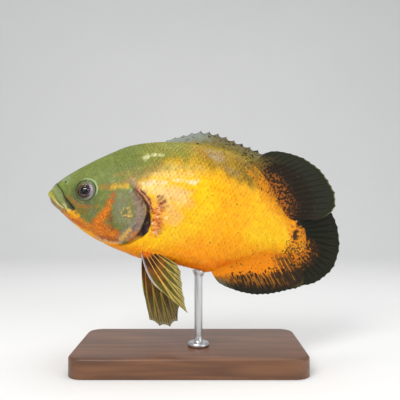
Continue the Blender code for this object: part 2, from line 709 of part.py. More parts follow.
def make_base():
    """Plain wooden base with rounded corners."""
    work = bmesh.new()
    bmesh.ops.create_cube(work, size=1.0)
    length, width, height = (MM * size for size in BASE_SIZE)
    bmesh.ops.scale(work, vec=(length, width, height), verts=work.verts)
    upright = [edge for edge in work.edges if abs(edge.verts[0].co.z - edge.verts[1].co.z) > height / 2]
    bmesh.ops.bevel(work, geom=upright, offset=MM * BASE_CORNER, segments=6, profile=0.5,
                    affect="EDGES")
    rim = [edge for edge in work.edges if all(vertex.co.z > height / 4 for vertex in edge.verts)]
    bmesh.ops.bevel(work, geom=rim, offset=MM * BASE_EDGE, segments=3, profile=0.5, affect="EDGES")
    x, y = (MM * centre for centre in BASE_CENTRE)
    bmesh.ops.translate(work, vec=(x, y, height / 2), verts=work.verts)
    mesh = bpy.data.meshes.new("stand_base")
    work.to_mesh(mesh)
    work.free()
    obj = bpy.data.objects.new("stand_base", mesh)
    bpy.context.collection.objects.link(obj)
    return obj


def make_rod():
    """Upright rod with a foot on the base and a small cup that lies along the belly."""
    x, bottom = np.array([ROD_X]), np.array([pi])
    belly = bend(skin(x, bottom))[0]
    away = bend(skin(x, bottom) + skin_normal(x, bottom))[0] - belly
    tilt = -away[:2] / away[2]
    foot = BASE_SIZE[2] + ROD_GAP
    cup = belly[2] / MM - CUP_GAP
    profile = (
        (ROD_FOOT_RADIUS, foot, 0), (ROD_FOOT_RADIUS, foot + 0.7 * ROD_FOOT_HEIGHT, 0),
        (ROD_FOOT_RADIUS - 1, foot + ROD_FOOT_HEIGHT, 0), (ROD_RADIUS, foot + ROD_FOOT_HEIGHT, 0),
        (ROD_RADIUS, cup - ROD_CUP_HEIGHT, 1), (ROD_CUP_RADIUS, cup - ROD_CUP_RIM, 1),
        (ROD_CUP_RADIUS, cup, 1),
    )
    turns = np.arange(ROD_SIDES) * 2 * pi / ROD_SIDES
    points = []
    for radius, height, tilted in profile:
        reach = MM * radius * np.stack([np.cos(turns), np.sin(turns)], axis=1)
        level = MM * height + tilted * reach @ tilt
        points.append(np.column_stack([belly[:2] + reach, level]))
    points = np.concatenate(points)
    faces = ring_faces(len(profile), ROD_SIDES)
    faces.append(tuple(range(ROD_SIDES)))
    faces.append(tuple(range(len(points) - ROD_SIDES, len(points))))
    return solid("stand_rod", points, faces)


def make_fish():
    """Every node of the fish with its colour and roughness."""
    head = make_head()
    spiny, soft = make_dorsal_fins()
    lifts = ((-GILL_DEPTH, GILL_FRONT_LIFT), (-GILL_DEPTH, GILL_LIFT))
    cover = patch("gill_cover_right", GILL_COVER, 0.0, lifts)
    x, height = EYE_CENTRE
    radii = (EYE_RADIUS, EYE_BULGE, EYE_RADIUS)
    finishes = [
        (head, GREEN, 0.35),
        (make_jaw("upper_jaw", upper_region(), 1, UPPER_LIP), OLIVE, 0.35),
        (make_jaw("lower_jaw", lower_region(), -1, LOWER_LIP), TAUPE, 0.35),
        (mirrored(cover, "gill_cover_left"), ORANGE, 0.35),
        (cover, ORANGE, 0.35),
        (ball("eye_left", (x, -EYE_SIDE, height), radii), MAROON, 0.1),
        (ball("eye_right", (x, EYE_SIDE, height), radii), MAROON, 0.1),
        (make_trunk(), GOLD, 0.4),
        (body_loft("tail_stalk", STALK_STATIONS), UMBER, 0.4),
        (spiny, GREY, 0.4),
        (soft, BLACK, 0.45),
        (make_anal_fin(), RUST, 0.45),
        (make_tail_fin(), BLACK, 0.45),
        (make_pelvic_fin("pelvic_fin_left", PELVIC_TIPS, -1), OCHRE, 0.4),
        (make_pelvic_fin("pelvic_fin_right", FAR_PELVIC_TIPS, 1), OCHRE, 0.4),
        (make_pectoral_fin("pectoral_fin_left", -1), AMBER, 0.3),
        (make_pectoral_fin("pectoral_fin_right", 1), AMBER, 0.3),
    ]
    for obj, colour, roughness in finishes:
        pose(obj)
        dress(obj, colour, roughness)


def make_stand():
    dress(make_base(), WALNUT, 0.4)
    dress(make_rod(), STEEL, 0.25, 1.0)


def centre_model():
    """Moves every solid so that the origin is under the middle of the whole model, on the floor."""
    meshes = [obj.data for obj in bpy.data.objects]
    points = np.array([vertex.co[:] for mesh in meshes for vertex in mesh.vertices])
    middle = (points.min(axis=0) + points.max(axis=0)) / 2
    for mesh in meshes:
        mesh.transform(Matrix.Translation((-middle[0], -middle[1], 0.0)))


def main():
    clear_scene()
    make_fish()
    make_stand()
    centre_model()


main()
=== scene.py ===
"""Oscar fish on its display stand: skin, scales, fins, eyes and the stand's finish.

The fish is laid out straight first, in millimetres: x runs from the snout to the tail, y to the
fish's right side and z up. Pose bends and tilts it and places it in the room, in metres.
"""

import logging
from dataclasses import dataclass, field
from enum import Enum
from math import cos, pi, radians, sin
from typing import Any, Callable

import bpy
import numpy as np
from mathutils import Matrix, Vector


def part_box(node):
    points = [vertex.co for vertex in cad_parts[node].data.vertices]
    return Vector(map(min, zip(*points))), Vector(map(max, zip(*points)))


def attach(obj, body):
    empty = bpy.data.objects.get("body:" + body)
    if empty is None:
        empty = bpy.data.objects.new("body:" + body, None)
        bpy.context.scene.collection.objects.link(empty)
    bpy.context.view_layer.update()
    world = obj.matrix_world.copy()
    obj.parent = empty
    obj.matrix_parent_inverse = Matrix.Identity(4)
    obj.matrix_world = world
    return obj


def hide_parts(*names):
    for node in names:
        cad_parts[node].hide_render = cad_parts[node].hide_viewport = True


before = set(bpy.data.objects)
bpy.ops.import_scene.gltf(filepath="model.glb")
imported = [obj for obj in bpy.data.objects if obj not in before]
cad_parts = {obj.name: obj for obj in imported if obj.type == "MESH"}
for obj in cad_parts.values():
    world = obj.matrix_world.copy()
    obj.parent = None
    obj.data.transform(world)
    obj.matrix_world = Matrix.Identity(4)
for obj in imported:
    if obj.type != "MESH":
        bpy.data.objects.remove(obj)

log = logging.getLogger("oscar")

Array = np.ndarray
Table = tuple[tuple[float, ...], ...]
Colour = tuple[float, float, float]

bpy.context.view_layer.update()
MM = 0.001
FISH = "fish"
TINT = "tint"
MARKS = "marks"


def srgb(red: float, green: float, blue: float) -> Colour:
    """Colour given as on a screen, 0 to 255, turned into the linear one that shaders take."""
    return tuple(float(c) for c in (np.array([red, green, blue]) / 255.0) ** 2.2)


def smooth(low: float, high: float, value: Array) -> Array:
    """Soft step from 0 at low to 1 at high; low may be the larger of the two."""
    part = np.clip((np.asarray(value, float) - low) / (high - low), 0, 1)
    return part * part * (3 - 2 * part)


def hump(distance: Array, width: float) -> Array:
    """Bell of height 1 around distance 0."""
    return np.exp(-((distance / width) ** 2))


def slopes(xs: Array, ys: Array) -> Array:
    """Slopes at a table's points that never overshoot it."""
    steps = np.diff(ys) / np.diff(xs)
    both = steps[:-1] + steps[1:]
    inner = np.where(steps[:-1] * steps[1:] > 0, 2 * steps[:-1] * steps[1:] / np.where(both == 0, 1, both), 0)
    return np.concatenate([steps[:1], inner, steps[-1:]])


def through(table: Table, where: Array, root: bool = False) -> Array:
    """Smooth curve through a table of points.

    Args:
        table: Pairs of place and value, in order.
        where: Places to read the curve at.
        root: Whether places are read by their square roots, which rounds the curve's start.

    Returns:
        The values there.
    """
    xs, ys = np.array(table, float).T
    where = np.clip(np.asarray(where, float), xs[0], xs[-1])
    if root:
        xs, where = np.sqrt(xs), np.sqrt(where)
    tangents = slopes(xs, ys)
    index = np.clip(np.searchsorted(xs, where, side="right") - 1, 0, len(xs) - 2)
    span = xs[index + 1] - xs[index]
    t = (where - xs[index]) / span
    start = (1 + 2 * t) * (1 - t) ** 2 * ys[index] + t * (1 - t) ** 2 * span * tangents[index]
    end = t * t * (3 - 2 * t) * ys[index + 1] + t * t * (t - 1) * span * tangents[index + 1]
    return start + end


def softened(points: Table | Array, rounds: int = 2) -> Array:
    """Open line with its corners cut this many times."""
    line = np.array(points, float)
    for _ in range(rounds):
        cut = np.stack([line[:-1] * 0.75 + line[1:] * 0.25, line[:-1] * 0.25 + line[1:] * 0.75], axis=1)
        line = np.concatenate([line[:1], cut.reshape(-1, line.shape[1]), line[-1:]])
    return line


def spaced(line: Array, count: int) -> Array:
    """This many evenly spaced points along a line."""
    line = np.asarray(line, float)
    lengths = np.concatenate([[0], np.cumsum(np.linalg.norm(np.diff(line, axis=0), axis=1))])
    where = np.linspace(0, lengths[-1], count)
    return np.stack([np.interp(where, lengths, column) for column in line.T], axis=1)


def along(spots: Array, path: Table | Array) -> tuple[Array, Array, Array]:
    """Where spots lie beside a line.

    Args:
        spots: Points in side view, one row each.
        path: Points of the line; columns after the first two are read along it.

    Returns:
        The distance, negative on the left of the line's direction, the share of the line's
        length at the nearest place, and the further columns' values there.
    """
    path = np.array(path, float)
    if len(path) == 1:
        path = np.repeat(path, 2, axis=0)
        path[1, 0] += 1e-6
    starts, steps = path[:-1, :2], np.diff(path[:, :2], axis=0)
    lengths = np.linalg.norm(steps, axis=1)
    reached = np.concatenate([[0], np.cumsum(lengths)])
    best = np.full(len(spots), 1e9)
    signed, share = np.zeros(len(spots)), np.zeros(len(spots))
    extra = np.zeros((len(spots), path.shape[1] - 2))
    for i, (start, step, length) in enumerate(zip(starts, steps, lengths)):
        away = spots - start
        t = np.clip(away @ step / length**2, 0, 1)
        distance = np.hypot(*(away - t[:, None] * step).T)
        nearer = distance < best
        cross = step[0] * away[:, 1] - step[1] * away[:, 0]
        best = np.where(nearer, distance, best)
        signed = np.where(nearer, -np.sign(cross) * distance, signed)
        share = np.where(nearer, (reached[i] + t * length) / reached[-1], share)
        between = path[i, 2:] + t[:, None] * (path[i + 1, 2:] - path[i, 2:])
        extra = np.where(nearer[:, None], between, extra)
    return signed, share, extra


@dataclass(frozen=True)
class Noise:
    """Smooth random field between about -1 and 1, the same on each run.

    Args:
        seed: Which field.
        cells: How far it goes before it repeats, in steps.
    """

    seed: int
    cells: int = 32

    def at(self, points: Array, size: float | tuple[float, ...]) -> Array:
        """Value of the field at each point, with lumps of this size."""
        lattice = np.random.default_rng(self.seed).uniform(-1, 1, (self.cells,) * 3)
        place = np.asarray(points, float) / np.asarray(size, float) + 100.5
        low = np.floor(place).astype(int)
        part = place - low
        part = part * part * (3 - 2 * part)
        total = np.zeros(len(place))
        for corner in np.ndindex(2, 2, 2):
            weight = np.prod(np.where(corner, part, 1 - part), axis=1)
            total += weight * lattice[tuple(((low + corner) % self.cells).T)]
        return total


class Wire:
    """A value in a material that takes part in sums as a number does."""

    def __init__(self, graph: "Graph", socket: bpy.types.NodeSocket) -> None:
        """Holds one output socket of a graph."""
        self.graph, self.socket = graph, socket

    def __add__(self, other: Any) -> "Wire":
        """Sum."""
        return self.graph.math("ADD", self, other)

    def __sub__(self, other: Any) -> "Wire":
        """Difference."""
        return self.graph.math("SUBTRACT", self, other)

    def __rsub__(self, other: Any) -> "Wire":
        """Difference from a number."""
        return self.graph.math("SUBTRACT", other, self)

    def __mul__(self, other: Any) -> "Wire":
        """Product."""
        return self.graph.math("MULTIPLY", self, other)

    def __truediv__(self, other: Any) -> "Wire":
        """Quotient."""
        return self.graph.math("DIVIDE", self, other)

    def __pow__(self, other: Any) -> "Wire":
        """Power."""
        return self.graph.math("POWER", self, other)

    __radd__ = __add__
    __rmul__ = __mul__

    def step(self, low: float, high: float) -> "Wire":
        """Soft step from 0 at low to 1 at high."""
        made = self.graph.node("ShaderNodeMapRange", {"interpolation_type": "SMOOTHSTEP"},
                               {"Value": self, "From Min": low, "From Max": high})
        return Wire(self.graph, made.outputs["Result"])


class Graph:
    """Node tree of one material, around its Principled shader."""

    def __init__(self, name: str, **constants: Any) -> None:
        """Makes the material; constants are plain values of the shader's sockets."""
        self.material = bpy.data.materials.new(name)
        self.material.use_nodes = True
        self.tree = self.material.node_tree
        self.shader = self.tree.nodes["Principled BSDF"]
        for socket, value in constants.items():
            self.set(socket.replace("_", " ").title().replace("Ior", "IOR"), value)

    def set(self, socket: str, value: Any) -> None:
        """Gives one of the shader's sockets a value or a wire."""
        self.feed(self.shader.inputs[socket], value)

    def feed(self, socket: bpy.types.NodeSocket, value: Any) -> None:
        """Sets an input socket, or links it where the value is a wire."""
        if isinstance(value, Wire):
            self.tree.links.new(value.socket, socket)
        elif isinstance(value, tuple) and len(value) == 3 and socket.type == "RGBA":
            socket.default_value = (*value, 1.0)
        else:
            socket.default_value = value

    def node(self, kind: str, settings: dict[str, Any], sockets: dict[Any, Any]) -> bpy.types.Node:
        """Adds a node.

        Args:
            kind: Blender's name for the node's type.
            settings: Its properties; "stops" are a ramp's places and colours.
            sockets: Values or wires for its inputs, by name or index.

        Returns:
            The node.
        """
        made = self.tree.nodes.new(kind)
        for key, value in settings.items():
            if key == "stops":
                while len(made.color_ramp.elements) < len(value):
                    made.color_ramp.elements.new(1.0)
                for element, (place, colour) in zip(made.color_ramp.elements, value):
                    element.position, element.color = place, (*colour, 1.0)
            else:
                setattr(made, key, value)
        for key, value in sockets.items():
            self.feed(made.inputs[key], value)
        return made

    def math(self, operation: str, *values: Any) -> Wire:
        """One sum on values or wires."""
        made = self.node("ShaderNodeMath", {"operation": operation}, dict(enumerate(values)))
        return Wire(self, made.outputs[0])

    def mix(self, share: Any, first: Any, second: Any, blend: str = "MIX") -> Wire:
        """Colour between two, or the first changed by the second in another blend."""
        made = self.node("ShaderNodeMix", {"data_type": "RGBA", "blend_type": blend},
                         {0: share, 6: first, 7: second})
        return Wire(self, made.outputs[2])

    def attribute(self, name: str, output: str = "Vector") -> Wire:
        """One of the mesh's own attributes."""
        made = self.node("ShaderNodeAttribute", {"attribute_name": name}, {})
        return Wire(self, made.outputs[output])

    def parts(self, vector: Wire) -> tuple[Wire, Wire, Wire]:
        """The three numbers of a vector."""
        made = self.node("ShaderNodeSeparateXYZ", {}, {0: vector})
        return tuple(Wire(self, output) for output in made.outputs)

    def stretched(self, vector: Wire, scale: tuple[float, float, float]) -> Wire:
        """Vector with each part multiplied."""
        made = self.node("ShaderNodeVectorMath", {"operation": "MULTIPLY"}, {0: vector, 1: scale})
        return Wire(self, made.outputs[0])

    def place(self) -> Wire:
        """The piece's own place in the room, in metres."""
        return Wire(self, self.node("ShaderNodeTexCoord", {}, {}).outputs["Object"])

    def noise(self, vector: Wire, scale: float, detail: float = 2.0, roughness: float = 0.5) -> Wire:
        """Soft random pattern between 0 and 1."""
        made = self.node("ShaderNodeTexNoise", {},
                         {"Vector": vector, "Scale": scale, "Detail": detail, "Roughness": roughness})
        return Wire(self, made.outputs[0])

    def cells(self, vector: Wire, scale: float, feature: str = "F1") -> Wire:
        """Distance to scattered points, or to the borders between their cells."""
        made = self.node("ShaderNodeTexVoronoi", {"feature": feature}, {"Vector": vector, "Scale": scale})
        return Wire(self, made.outputs["Distance"])

    def relief(self, *heights: tuple[Wire, float, float]) -> None:
        """Bumps in the shader's normal, each given as its height, strength and depth in metres."""
        normal = None
        for height, strength, depth in heights:
            sockets = {"Height": height, "Strength": strength, "Distance": depth}
            if normal is not None:
                sockets["Normal"] = normal
            normal = Wire(self, self.node("ShaderNodeBump", {}, sockets).outputs["Normal"])
        self.set("Normal", normal)


def grid(name: str, points: Array, attributes: dict[str, Array] | None = None) -> bpy.types.Object:
    """Adds a grid, lays its points out and closes whatever comes together.

    Args:
        name: The piece's name.
        points: Rows of columns of points.
        attributes: Values for each point: numbers, vectors or colours with alpha.

    Returns:
        The piece, shaded smooth.
    """
    rows, columns = points.shape[:2]
    bpy.ops.object.select_all(action="DESELECT")
    bpy.ops.mesh.primitive_grid_add(x_subdivisions=columns - 1, y_subdivisions=rows - 1, size=1.0)
    piece = bpy.context.object
    piece.name = piece.data.name = name
    mesh = piece.data
    while mesh.uv_layers:
        mesh.uv_layers.remove(mesh.uv_layers[0])
    mesh.vertices.foreach_set("co", np.asarray(points, np.float32).ravel())
    for key, values in (attributes or {}).items():
        store(mesh, key, values)
    bpy.ops.object.mode_set(mode="EDIT")
    bpy.ops.mesh.select_all(action="SELECT")
    bpy.ops.mesh.remove_doubles(threshold=MM * 0.002)
    bpy.ops.mesh.normals_make_consistent(inside=False)
    bpy.ops.object.mode_set(mode="OBJECT")
    bpy.ops.object.shade_smooth()
    return piece


def store(mesh: bpy.types.Mesh, key: str, values: Array) -> None:
    """Keeps values for each point on a mesh under a name."""
    values = np.asarray(values, np.float32)
    width = 1 if values.ndim == 1 else values.shape[-1]
    kind, slot = {1: ("FLOAT", "value"), 3: ("FLOAT_VECTOR", "vector"), 4: ("FLOAT_COLOR", "color")}[width]
    mesh.attributes.new(key, kind, "POINT").data.foreach_set(slot, values.ravel())


def coloured(tint: Array) -> Array:
    """Colours with the alpha that a colour attribute needs."""
    return np.concatenate([tint, np.ones((len(tint), 1))], axis=1)


def finished(piece: bpy.types.Object, material: bpy.types.Material, slot: str, *nodes: str) -> None:
    """Dresses a piece, lets it ride on the part and reports it.

    Args:
        piece: The piece, at its place.
        material: Its finish.
        slot: A name for that finish; not used.
        nodes: The solids that it stands for.
    """
    piece.data.materials.clear()
    piece.data.materials.append(material)
    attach(piece, "root")
    if nodes:
        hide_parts(*nodes)
    log.info("%s: %d faces", piece.name, len(piece.data.polygons))


@dataclass(frozen=True)
class Body:
    """The fish without its fins, as smooth curves from the snout to the root of the tail fin."""

    length: float = 195.0
    end: float = 208.0
    back: Table = (
        (0, -0.3), (0.5, 3.0), (1.8, 6.4), (4, 10.2), (7.5, 14.2), (12.5, 18.9), (18.4, 24.0), (25.2, 29.5),
        (34.8, 36.4), (44.5, 43.0), (53.8, 48.3), (64, 52), (75, 54.9), (87, 56.7), (98, 57.8), (110, 58.4),
        (122, 58.3), (134, 56.7), (146, 53), (157, 46.6), (166.5, 38), (175, 27.8), (184, 17.3), (190, 14.8),
        (195, 14.5), (200, 13.6), (204, 11.0), (208, 2.0),
    )
    belly: Table = (
        (0, -0.3), (0.6, -2.1), (2.2, -3.7), (6.1, -6.9), (12.7, -11.8), (21, -17.2), (27.6, -21),
        (35.8, -25), (47, -28.9), (63.7, -33.2), (74.7, -35.4), (87, -36), (98, -35.9), (110, -36.6),
        (121, -37.5), (128, -37.4), (139, -31.8), (149.5, -26.6), (161, -20.8), (172, -16), (184, -14.8),
        (195, -15.5), (200, -14.4), (204, -11.0), (208, -3.0),
    )
    half_width: Table = (
        (0, 0), (2, 5.8), (6, 8.6), (12, 11.2), (21, 13.8), (30, 15.6), (42, 17.8), (55, 19.4), (70, 20.3),
        (85, 20.2), (100, 19), (120, 16.4), (140, 13), (155, 10.2), (170, 7.6), (183, 5.8), (195, 4.2),
        (201, 2.7), (205, 1.4), (208, 0.3),
    )
    widest: Table = ((0, -0.3), (12, 2), (60, 2), (90, 3), (120, 6), (150, 6), (175, 2), (195, -0.5), (208, -0.5))
    top_sharpness: Table = ((0, 1.0), (30, 1.0), (70, 1.1), (90, 1.25), (150, 1.3), (185, 1.1), (195, 1.0))
    bottom_sharpness: Table = (
        (0, 1.0), (40, 0.95), (80, 0.88), (115, 0.95), (135, 1.25), (175, 1.2), (195, 1.0),
    )

    def section(self, x: Array) -> tuple[Array, ...]:
        """Widest height, reach above and below it, half width and the two sharpness values at x."""
        middle = through(self.widest, x)
        top = through(self.back, x, root=True) - middle
        bottom = middle - through(self.belly, x, root=True)
        width = through(self.half_width, x, root=True)
        return middle, top, bottom, width, through(self.top_sharpness, x), through(self.bottom_sharpness, x)

    def skin(self, x: Array, angle: Array) -> Array:
        """Points on the body; angle is 0 on the back, pi on the belly, positive on the right."""
        middle, top, bottom, width, sharp_top, sharp_bottom = self.section(x)
        upper = np.cos(angle) > 0
        sharpness = np.where(upper, sharp_top, sharp_bottom)
        side = width * np.sign(np.sin(angle)) * np.abs(np.sin(angle)) ** sharpness
        height = middle + np.where(upper, top, bottom) * np.cos(angle)
        return np.stack(np.broadcast_arrays(x, side, height), axis=-1)

    def side(self, x: Array, height: Array) -> Array:
        """Half width of the body at x and this height."""
        middle, top, bottom, width, sharp_top, sharp_bottom = self.section(x)
        upper = height > middle
        level = np.clip((height - middle) / np.where(upper, top, bottom), -1, 1)
        return width * (1 - level**2) ** (np.where(upper, sharp_top, sharp_bottom) / 2)

    def angle_at(self, x: Array, height: Array) -> Array:
        """Angle that skin() takes to reach this height on the right side."""
        middle, top, bottom = self.section(x)[:3]
        return np.arccos(np.clip((height - middle) / np.where(height > middle, top, bottom), -1, 1))

    def normal(self, x: Array, angle: Array) -> Array:
        """Outward direction of the body's surface."""
        step = 0.01
        across = np.cross(self.skin(x + step, angle) - self.skin(np.maximum(x - step, 0), angle),
                          self.skin(x, angle + step) - self.skin(x, angle - step))
        return across / np.maximum(np.linalg.norm(across, axis=-1, keepdims=True), 1e-9)


@dataclass(frozen=True)
class Pose:
    """Bend, roll and pitch of the fish, and its place above the stand's base."""

    bend_start: float = 74.1
    bend_end: float = 253.5
    bend_angle: float = radians(36.0)
    roll: float = radians(10.0)
    pitch: float = radians(9.0)
    base_centre: tuple[float, float] = (106.0, 6.0)
    floor: float = -126.0

    def shift(self) -> Array:
        """From millimetres off the snout to the room: the base's middle tells where the part stands."""
        low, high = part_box("stand_base")
        middle = (low + high) / 2
        return np.array([middle.x - MM * self.base_centre[0], middle.y - MM * self.base_centre[1],
                         -MM * self.floor])

    def place(self, points: Array) -> Array:
        """Points of the straight fish, in millimetres, moved into the pose, in metres."""
        flat = np.asarray(points, float).reshape(-1, 3)
        xs = np.linspace(-20, 270, 581)
        part = np.clip((xs - self.bend_start) / (self.bend_end - self.bend_start), 0, 1)
        heading = self.bend_angle * part * part * (3 - 2 * part)
        start = int(np.argmin(np.abs(xs)))
        centre = []
        for track in (np.cos(heading), np.sin(heading)):
            total = np.concatenate([[0], np.cumsum((track[1:] + track[:-1]) / 2 * (xs[1] - xs[0]))])
            centre.append(np.interp(flat[:, 0], xs, total - total[start]))
        turn = np.interp(flat[:, 0], xs, heading)
        x = centre[0] - flat[:, 1] * np.sin(turn)
        y = centre[1] + flat[:, 1] * np.cos(turn)
        z = flat[:, 2]
        y, z = y * cos(self.roll) + z * sin(self.roll), -y * sin(self.roll) + z * cos(self.roll)
        x, z = x * cos(self.pitch) + z * sin(self.pitch), -x * sin(self.pitch) + z * cos(self.pitch)
        return (np.stack([x, y, z], axis=1) * MM + self.shift()).reshape(np.shape(points))


BODY = Body()
POSE = Pose()


@dataclass(frozen=True)
class Head:
    """Lines and places of the head in side view, as (x, height)."""

    mouth: Table = ((-6, 2.2), (0, -0.5), (3.6, -2.6), (8.0, -5.9), (10.7, -7.7), (14.6, -9.5))
    jaw_groove: Table = ((3.2, 12.4), (5.3, 9.2), (8.0, 6.4), (11.1, 3.8), (14.0, -0.4), (17.5, -3.6), (23.8, -9.2))
    lip_fold: Table = ((1.6, -4.2), (3.4, -4.9), (6.9, -7.6), (13.2, -11.2), (17.0, -12.6))
    cover_edge: Table = (
        (58, 13.6), (62, 12.6), (66.5, 10.2), (71.2, 6.2), (75.2, 1.2), (76.2, -4.6), (75.2, -11), (73.4, -17),
        (70.2, -22.2), (65, -26.4), (59.7, -28.4), (53, -29.3), (45, -28.2),
    )
    opening_edge: Table = (
        (58, 13.6), (62, 12.7), (66.5, 10.4), (71.8, 6.8), (77.0, 1.2), (79.2, -5.0), (80.2, -11), (79.4, -17),
        (75.4, -22.2), (66.8, -27.4), (60, -29.2), (53, -29.8), (45, -28.4),
    )
    cheek_edge: Table = ((46.8, 8.5), (50.6, 2.0), (52.2, -5.0), (53.0, -12.0), (54.2, -18.0), (51.0, -22.6),
                         (44.0, -22.8), (36.0, -19.6), (29.0, -15.6))
    throat_fold: Table = ((63, -27.8), (52, -27.4), (44, -25.2), (36, -22.0), (29, -18.2))
    eye: tuple[float, float] = (29.4, 6.1)
    lid_radius: float = 8.8
    nostril: tuple[float, float] = (12.2, 11.0)
    nostril_radius: float = 0.85
    fin_lobe: Table = ((82.2, 1.6, 2.4), (83.4, -5.0, 3.2), (84.0, -13.0, 2.8))
    pores: Table = (
        (17.5, 8.2), (19.0, 0.4), (23.5, -3.6), (29.5, -4.9), (36.0, -3.4), (40.0, 1.5), (41.0, 13.5),
        (34.0, 18.8), (25.5, 18.6), (48.6, -14.0), (43.0, -20.4), (35.0, -17.6), (26.5, -14.4), (19.5, -12.6),
        (50.6, -6.0), (49.8, 13.4),
    )

    def eye_frame(self) -> tuple[Array, Array]:
        """Middle of the right eye on the skin and the direction in which it looks."""
        x, height = np.array([self.eye[0]]), np.array([self.eye[1]])
        angle = BODY.angle_at(x, height)
        return BODY.skin(x, angle)[0], BODY.normal(x, angle)[0]

    def from_eye(self, points: Array) -> Array:
        """Distance from the nearer eye's axis."""
        centre, look = self.eye_frame()
        away = points * (1, 0, 1) + np.abs(points) * (0, 1, 0) - centre
        return np.linalg.norm(away - (away @ look)[:, None] * look, axis=1)

    def slot(self, flat: Array) -> Array:
        """How far open the gill slit is at each spot, 0 to 1."""
        cover, _, _ = along(flat, self.cover_edge)
        rear, _, _ = along(flat, self.opening_edge)
        return smooth(0.05, -0.35, cover) * smooth(-0.35, 0.25, rear) * (np.abs(cover) < 9)

    def lift(self, points: Array) -> Array:
        """Height of the head's forms above the plain body, in millimetres."""
        flat = points[:, (0, 2)]
        total = np.zeros(len(points))
        mouth, share, _ = along(flat, self.mouth)
        inside = smooth(1.0, 0.93, share)
        width = self.lip_width(share)
        upper = np.clip(1 - (2 * -mouth / width - 1) ** 2, 0, 1) ** 0.5
        total += inside * upper * (1.15 - 0.5 * share)
        width = 2.3 - 0.5 * share
        lower = np.clip(1 - (2 * mouth / width - 1) ** 2, 0, 1) ** 0.5
        total += inside * lower * 0.95
        total -= 1.5 * smooth(0.55, 0.3, share) * smooth(0.0, 0.7, mouth) * smooth(7.0, 3.0, mouth)
        total -= inside * 1.1 * hump(mouth, 0.32)

        groove, share, _ = along(flat, self.jaw_groove)
        ends = smooth(0.0, 0.12, share) * smooth(1.0, 0.9, share)
        total += 0.5 * smooth(-0.15, 0.25, groove) * np.exp(-np.maximum(groove, 0) / 3.0) * ends
        total -= (0.65 + 0.35 * share) * hump(groove, 0.34 + 0.3 * share) * ends

        fold, share, _ = along(flat, self.lip_fold)
        total -= 0.35 * hump(fold, 0.45) * smooth(0, 0.1, share) * smooth(1, 0.8, share)
        cheek, share, _ = along(flat, self.cheek_edge)
        ends = smooth(0.0, 0.15, share) * smooth(1.0, 0.8, share)
        total += ends * (0.4 * smooth(-0.5, 0.3, cheek) * np.exp(-np.maximum(cheek, 0) / 5) - 0.28 * hump(cheek, 0.6))
        throat, share, _ = along(flat, self.throat_fold)
        total -= 0.45 * hump(throat, 0.5) * smooth(0, 0.1, share) * smooth(1, 0.85, share)

        cover, share, _ = along(flat, self.cover_edge)
        rear, _, _ = along(flat, self.opening_edge)
        ends = smooth(0.0, 0.16, share) * smooth(1.0, 0.82, share)
        total += ends * (1.15 * smooth(-0.25, 0.2, cover) * np.exp(-np.maximum(cover, 0) / 8.0))
        total -= ends * 2.1 * smooth(0.0, -0.4, cover) * smooth(-0.6, 0.3, rear)
        total -= 0.5 * hump(cover, 0.4) * smooth(0.0, 0.1, share) * (1 - ends)
        total += self.rays(cover, share, flat) * ends

        _, _, radius = along(flat, self.fin_lobe)
        lobe, _, _ = along(flat, [spot[:2] for spot in self.fin_lobe])
        total += 1.2 * smooth(1.15, 0.25, np.abs(lobe) / radius[:, 0])

        eye = self.from_eye(points)
        total += 0.85 * hump(np.maximum(eye - self.lid_radius, 0), 1.7) * (eye > 5)
        total -= np.clip((self.lid_radius - 0.35 - eye) * 1.9, 0, 5.0)
        total -= 0.22 * hump(eye - 12.4, 0.7)
        hole = np.hypot(flat[:, 0] - self.nostril[0], flat[:, 1] - self.nostril[1])
        total += 0.3 * hump(hole - 1.55 * self.nostril_radius, 0.45)
        total -= 1.5 * smooth(1.25, 0.5, hole / self.nostril_radius)
        for x, height in self.pores:
            total -= 0.3 * hump(np.hypot(flat[:, 0] - x, flat[:, 1] - height), 0.42)
        return total

    def lip_width(self, share: Array) -> Array:
        """Height of the upper lip, fat in front and thin at the corner of the mouth."""
        return 1.1 + 5.2 * (1 - np.clip(share, 0, 1)) ** 1.4

    def rays(self, cover: Array, share: Array, flat: Array) -> Array:
        """Low folds of the gill cover's soft rear rim."""
        rim = smooth(7.0, 1.0, cover) * smooth(0.0, 0.8, cover)
        sweep = share * 46 + 0.6 * Noise(5).at(np.column_stack([flat, flat[:, 0] * 0]), 3.0)
        return 0.14 * np.sin(sweep * 2 * pi / 2.0) * rim


HEAD = Head()


@dataclass(frozen=True)
class Stroke:
    """Colour laid along a line in side view.

    Args:
        colour: What is laid on.
        path: The line's points with the stroke's radius at each.
        strength: How much of the colour covers at most.
        soft: Share of the radius over which it fades out.
        ragged: How far its edge wanders, in millimetres.
        grain: Size of that wandering.
    """

    colour: Colour
    path: Table
    strength: float = 1.0
    soft: float = 0.6
    ragged: float = 0.0
    grain: float = 3.0

    def cover(self, points: Array) -> Array:
        """Share of the stroke's colour at each point."""
        distance, _, radius = along(points[:, (0, 2)], self.path)
        distance = np.abs(distance)
        if self.ragged:
            distance = distance + self.ragged * Noise(7).at(points, self.grain)
            distance = distance + 0.5 * self.ragged * Noise(8).at(points, 0.42 * self.grain)
        return self.strength * smooth(1.0, 1.0 - self.soft, distance / radius[:, 0])


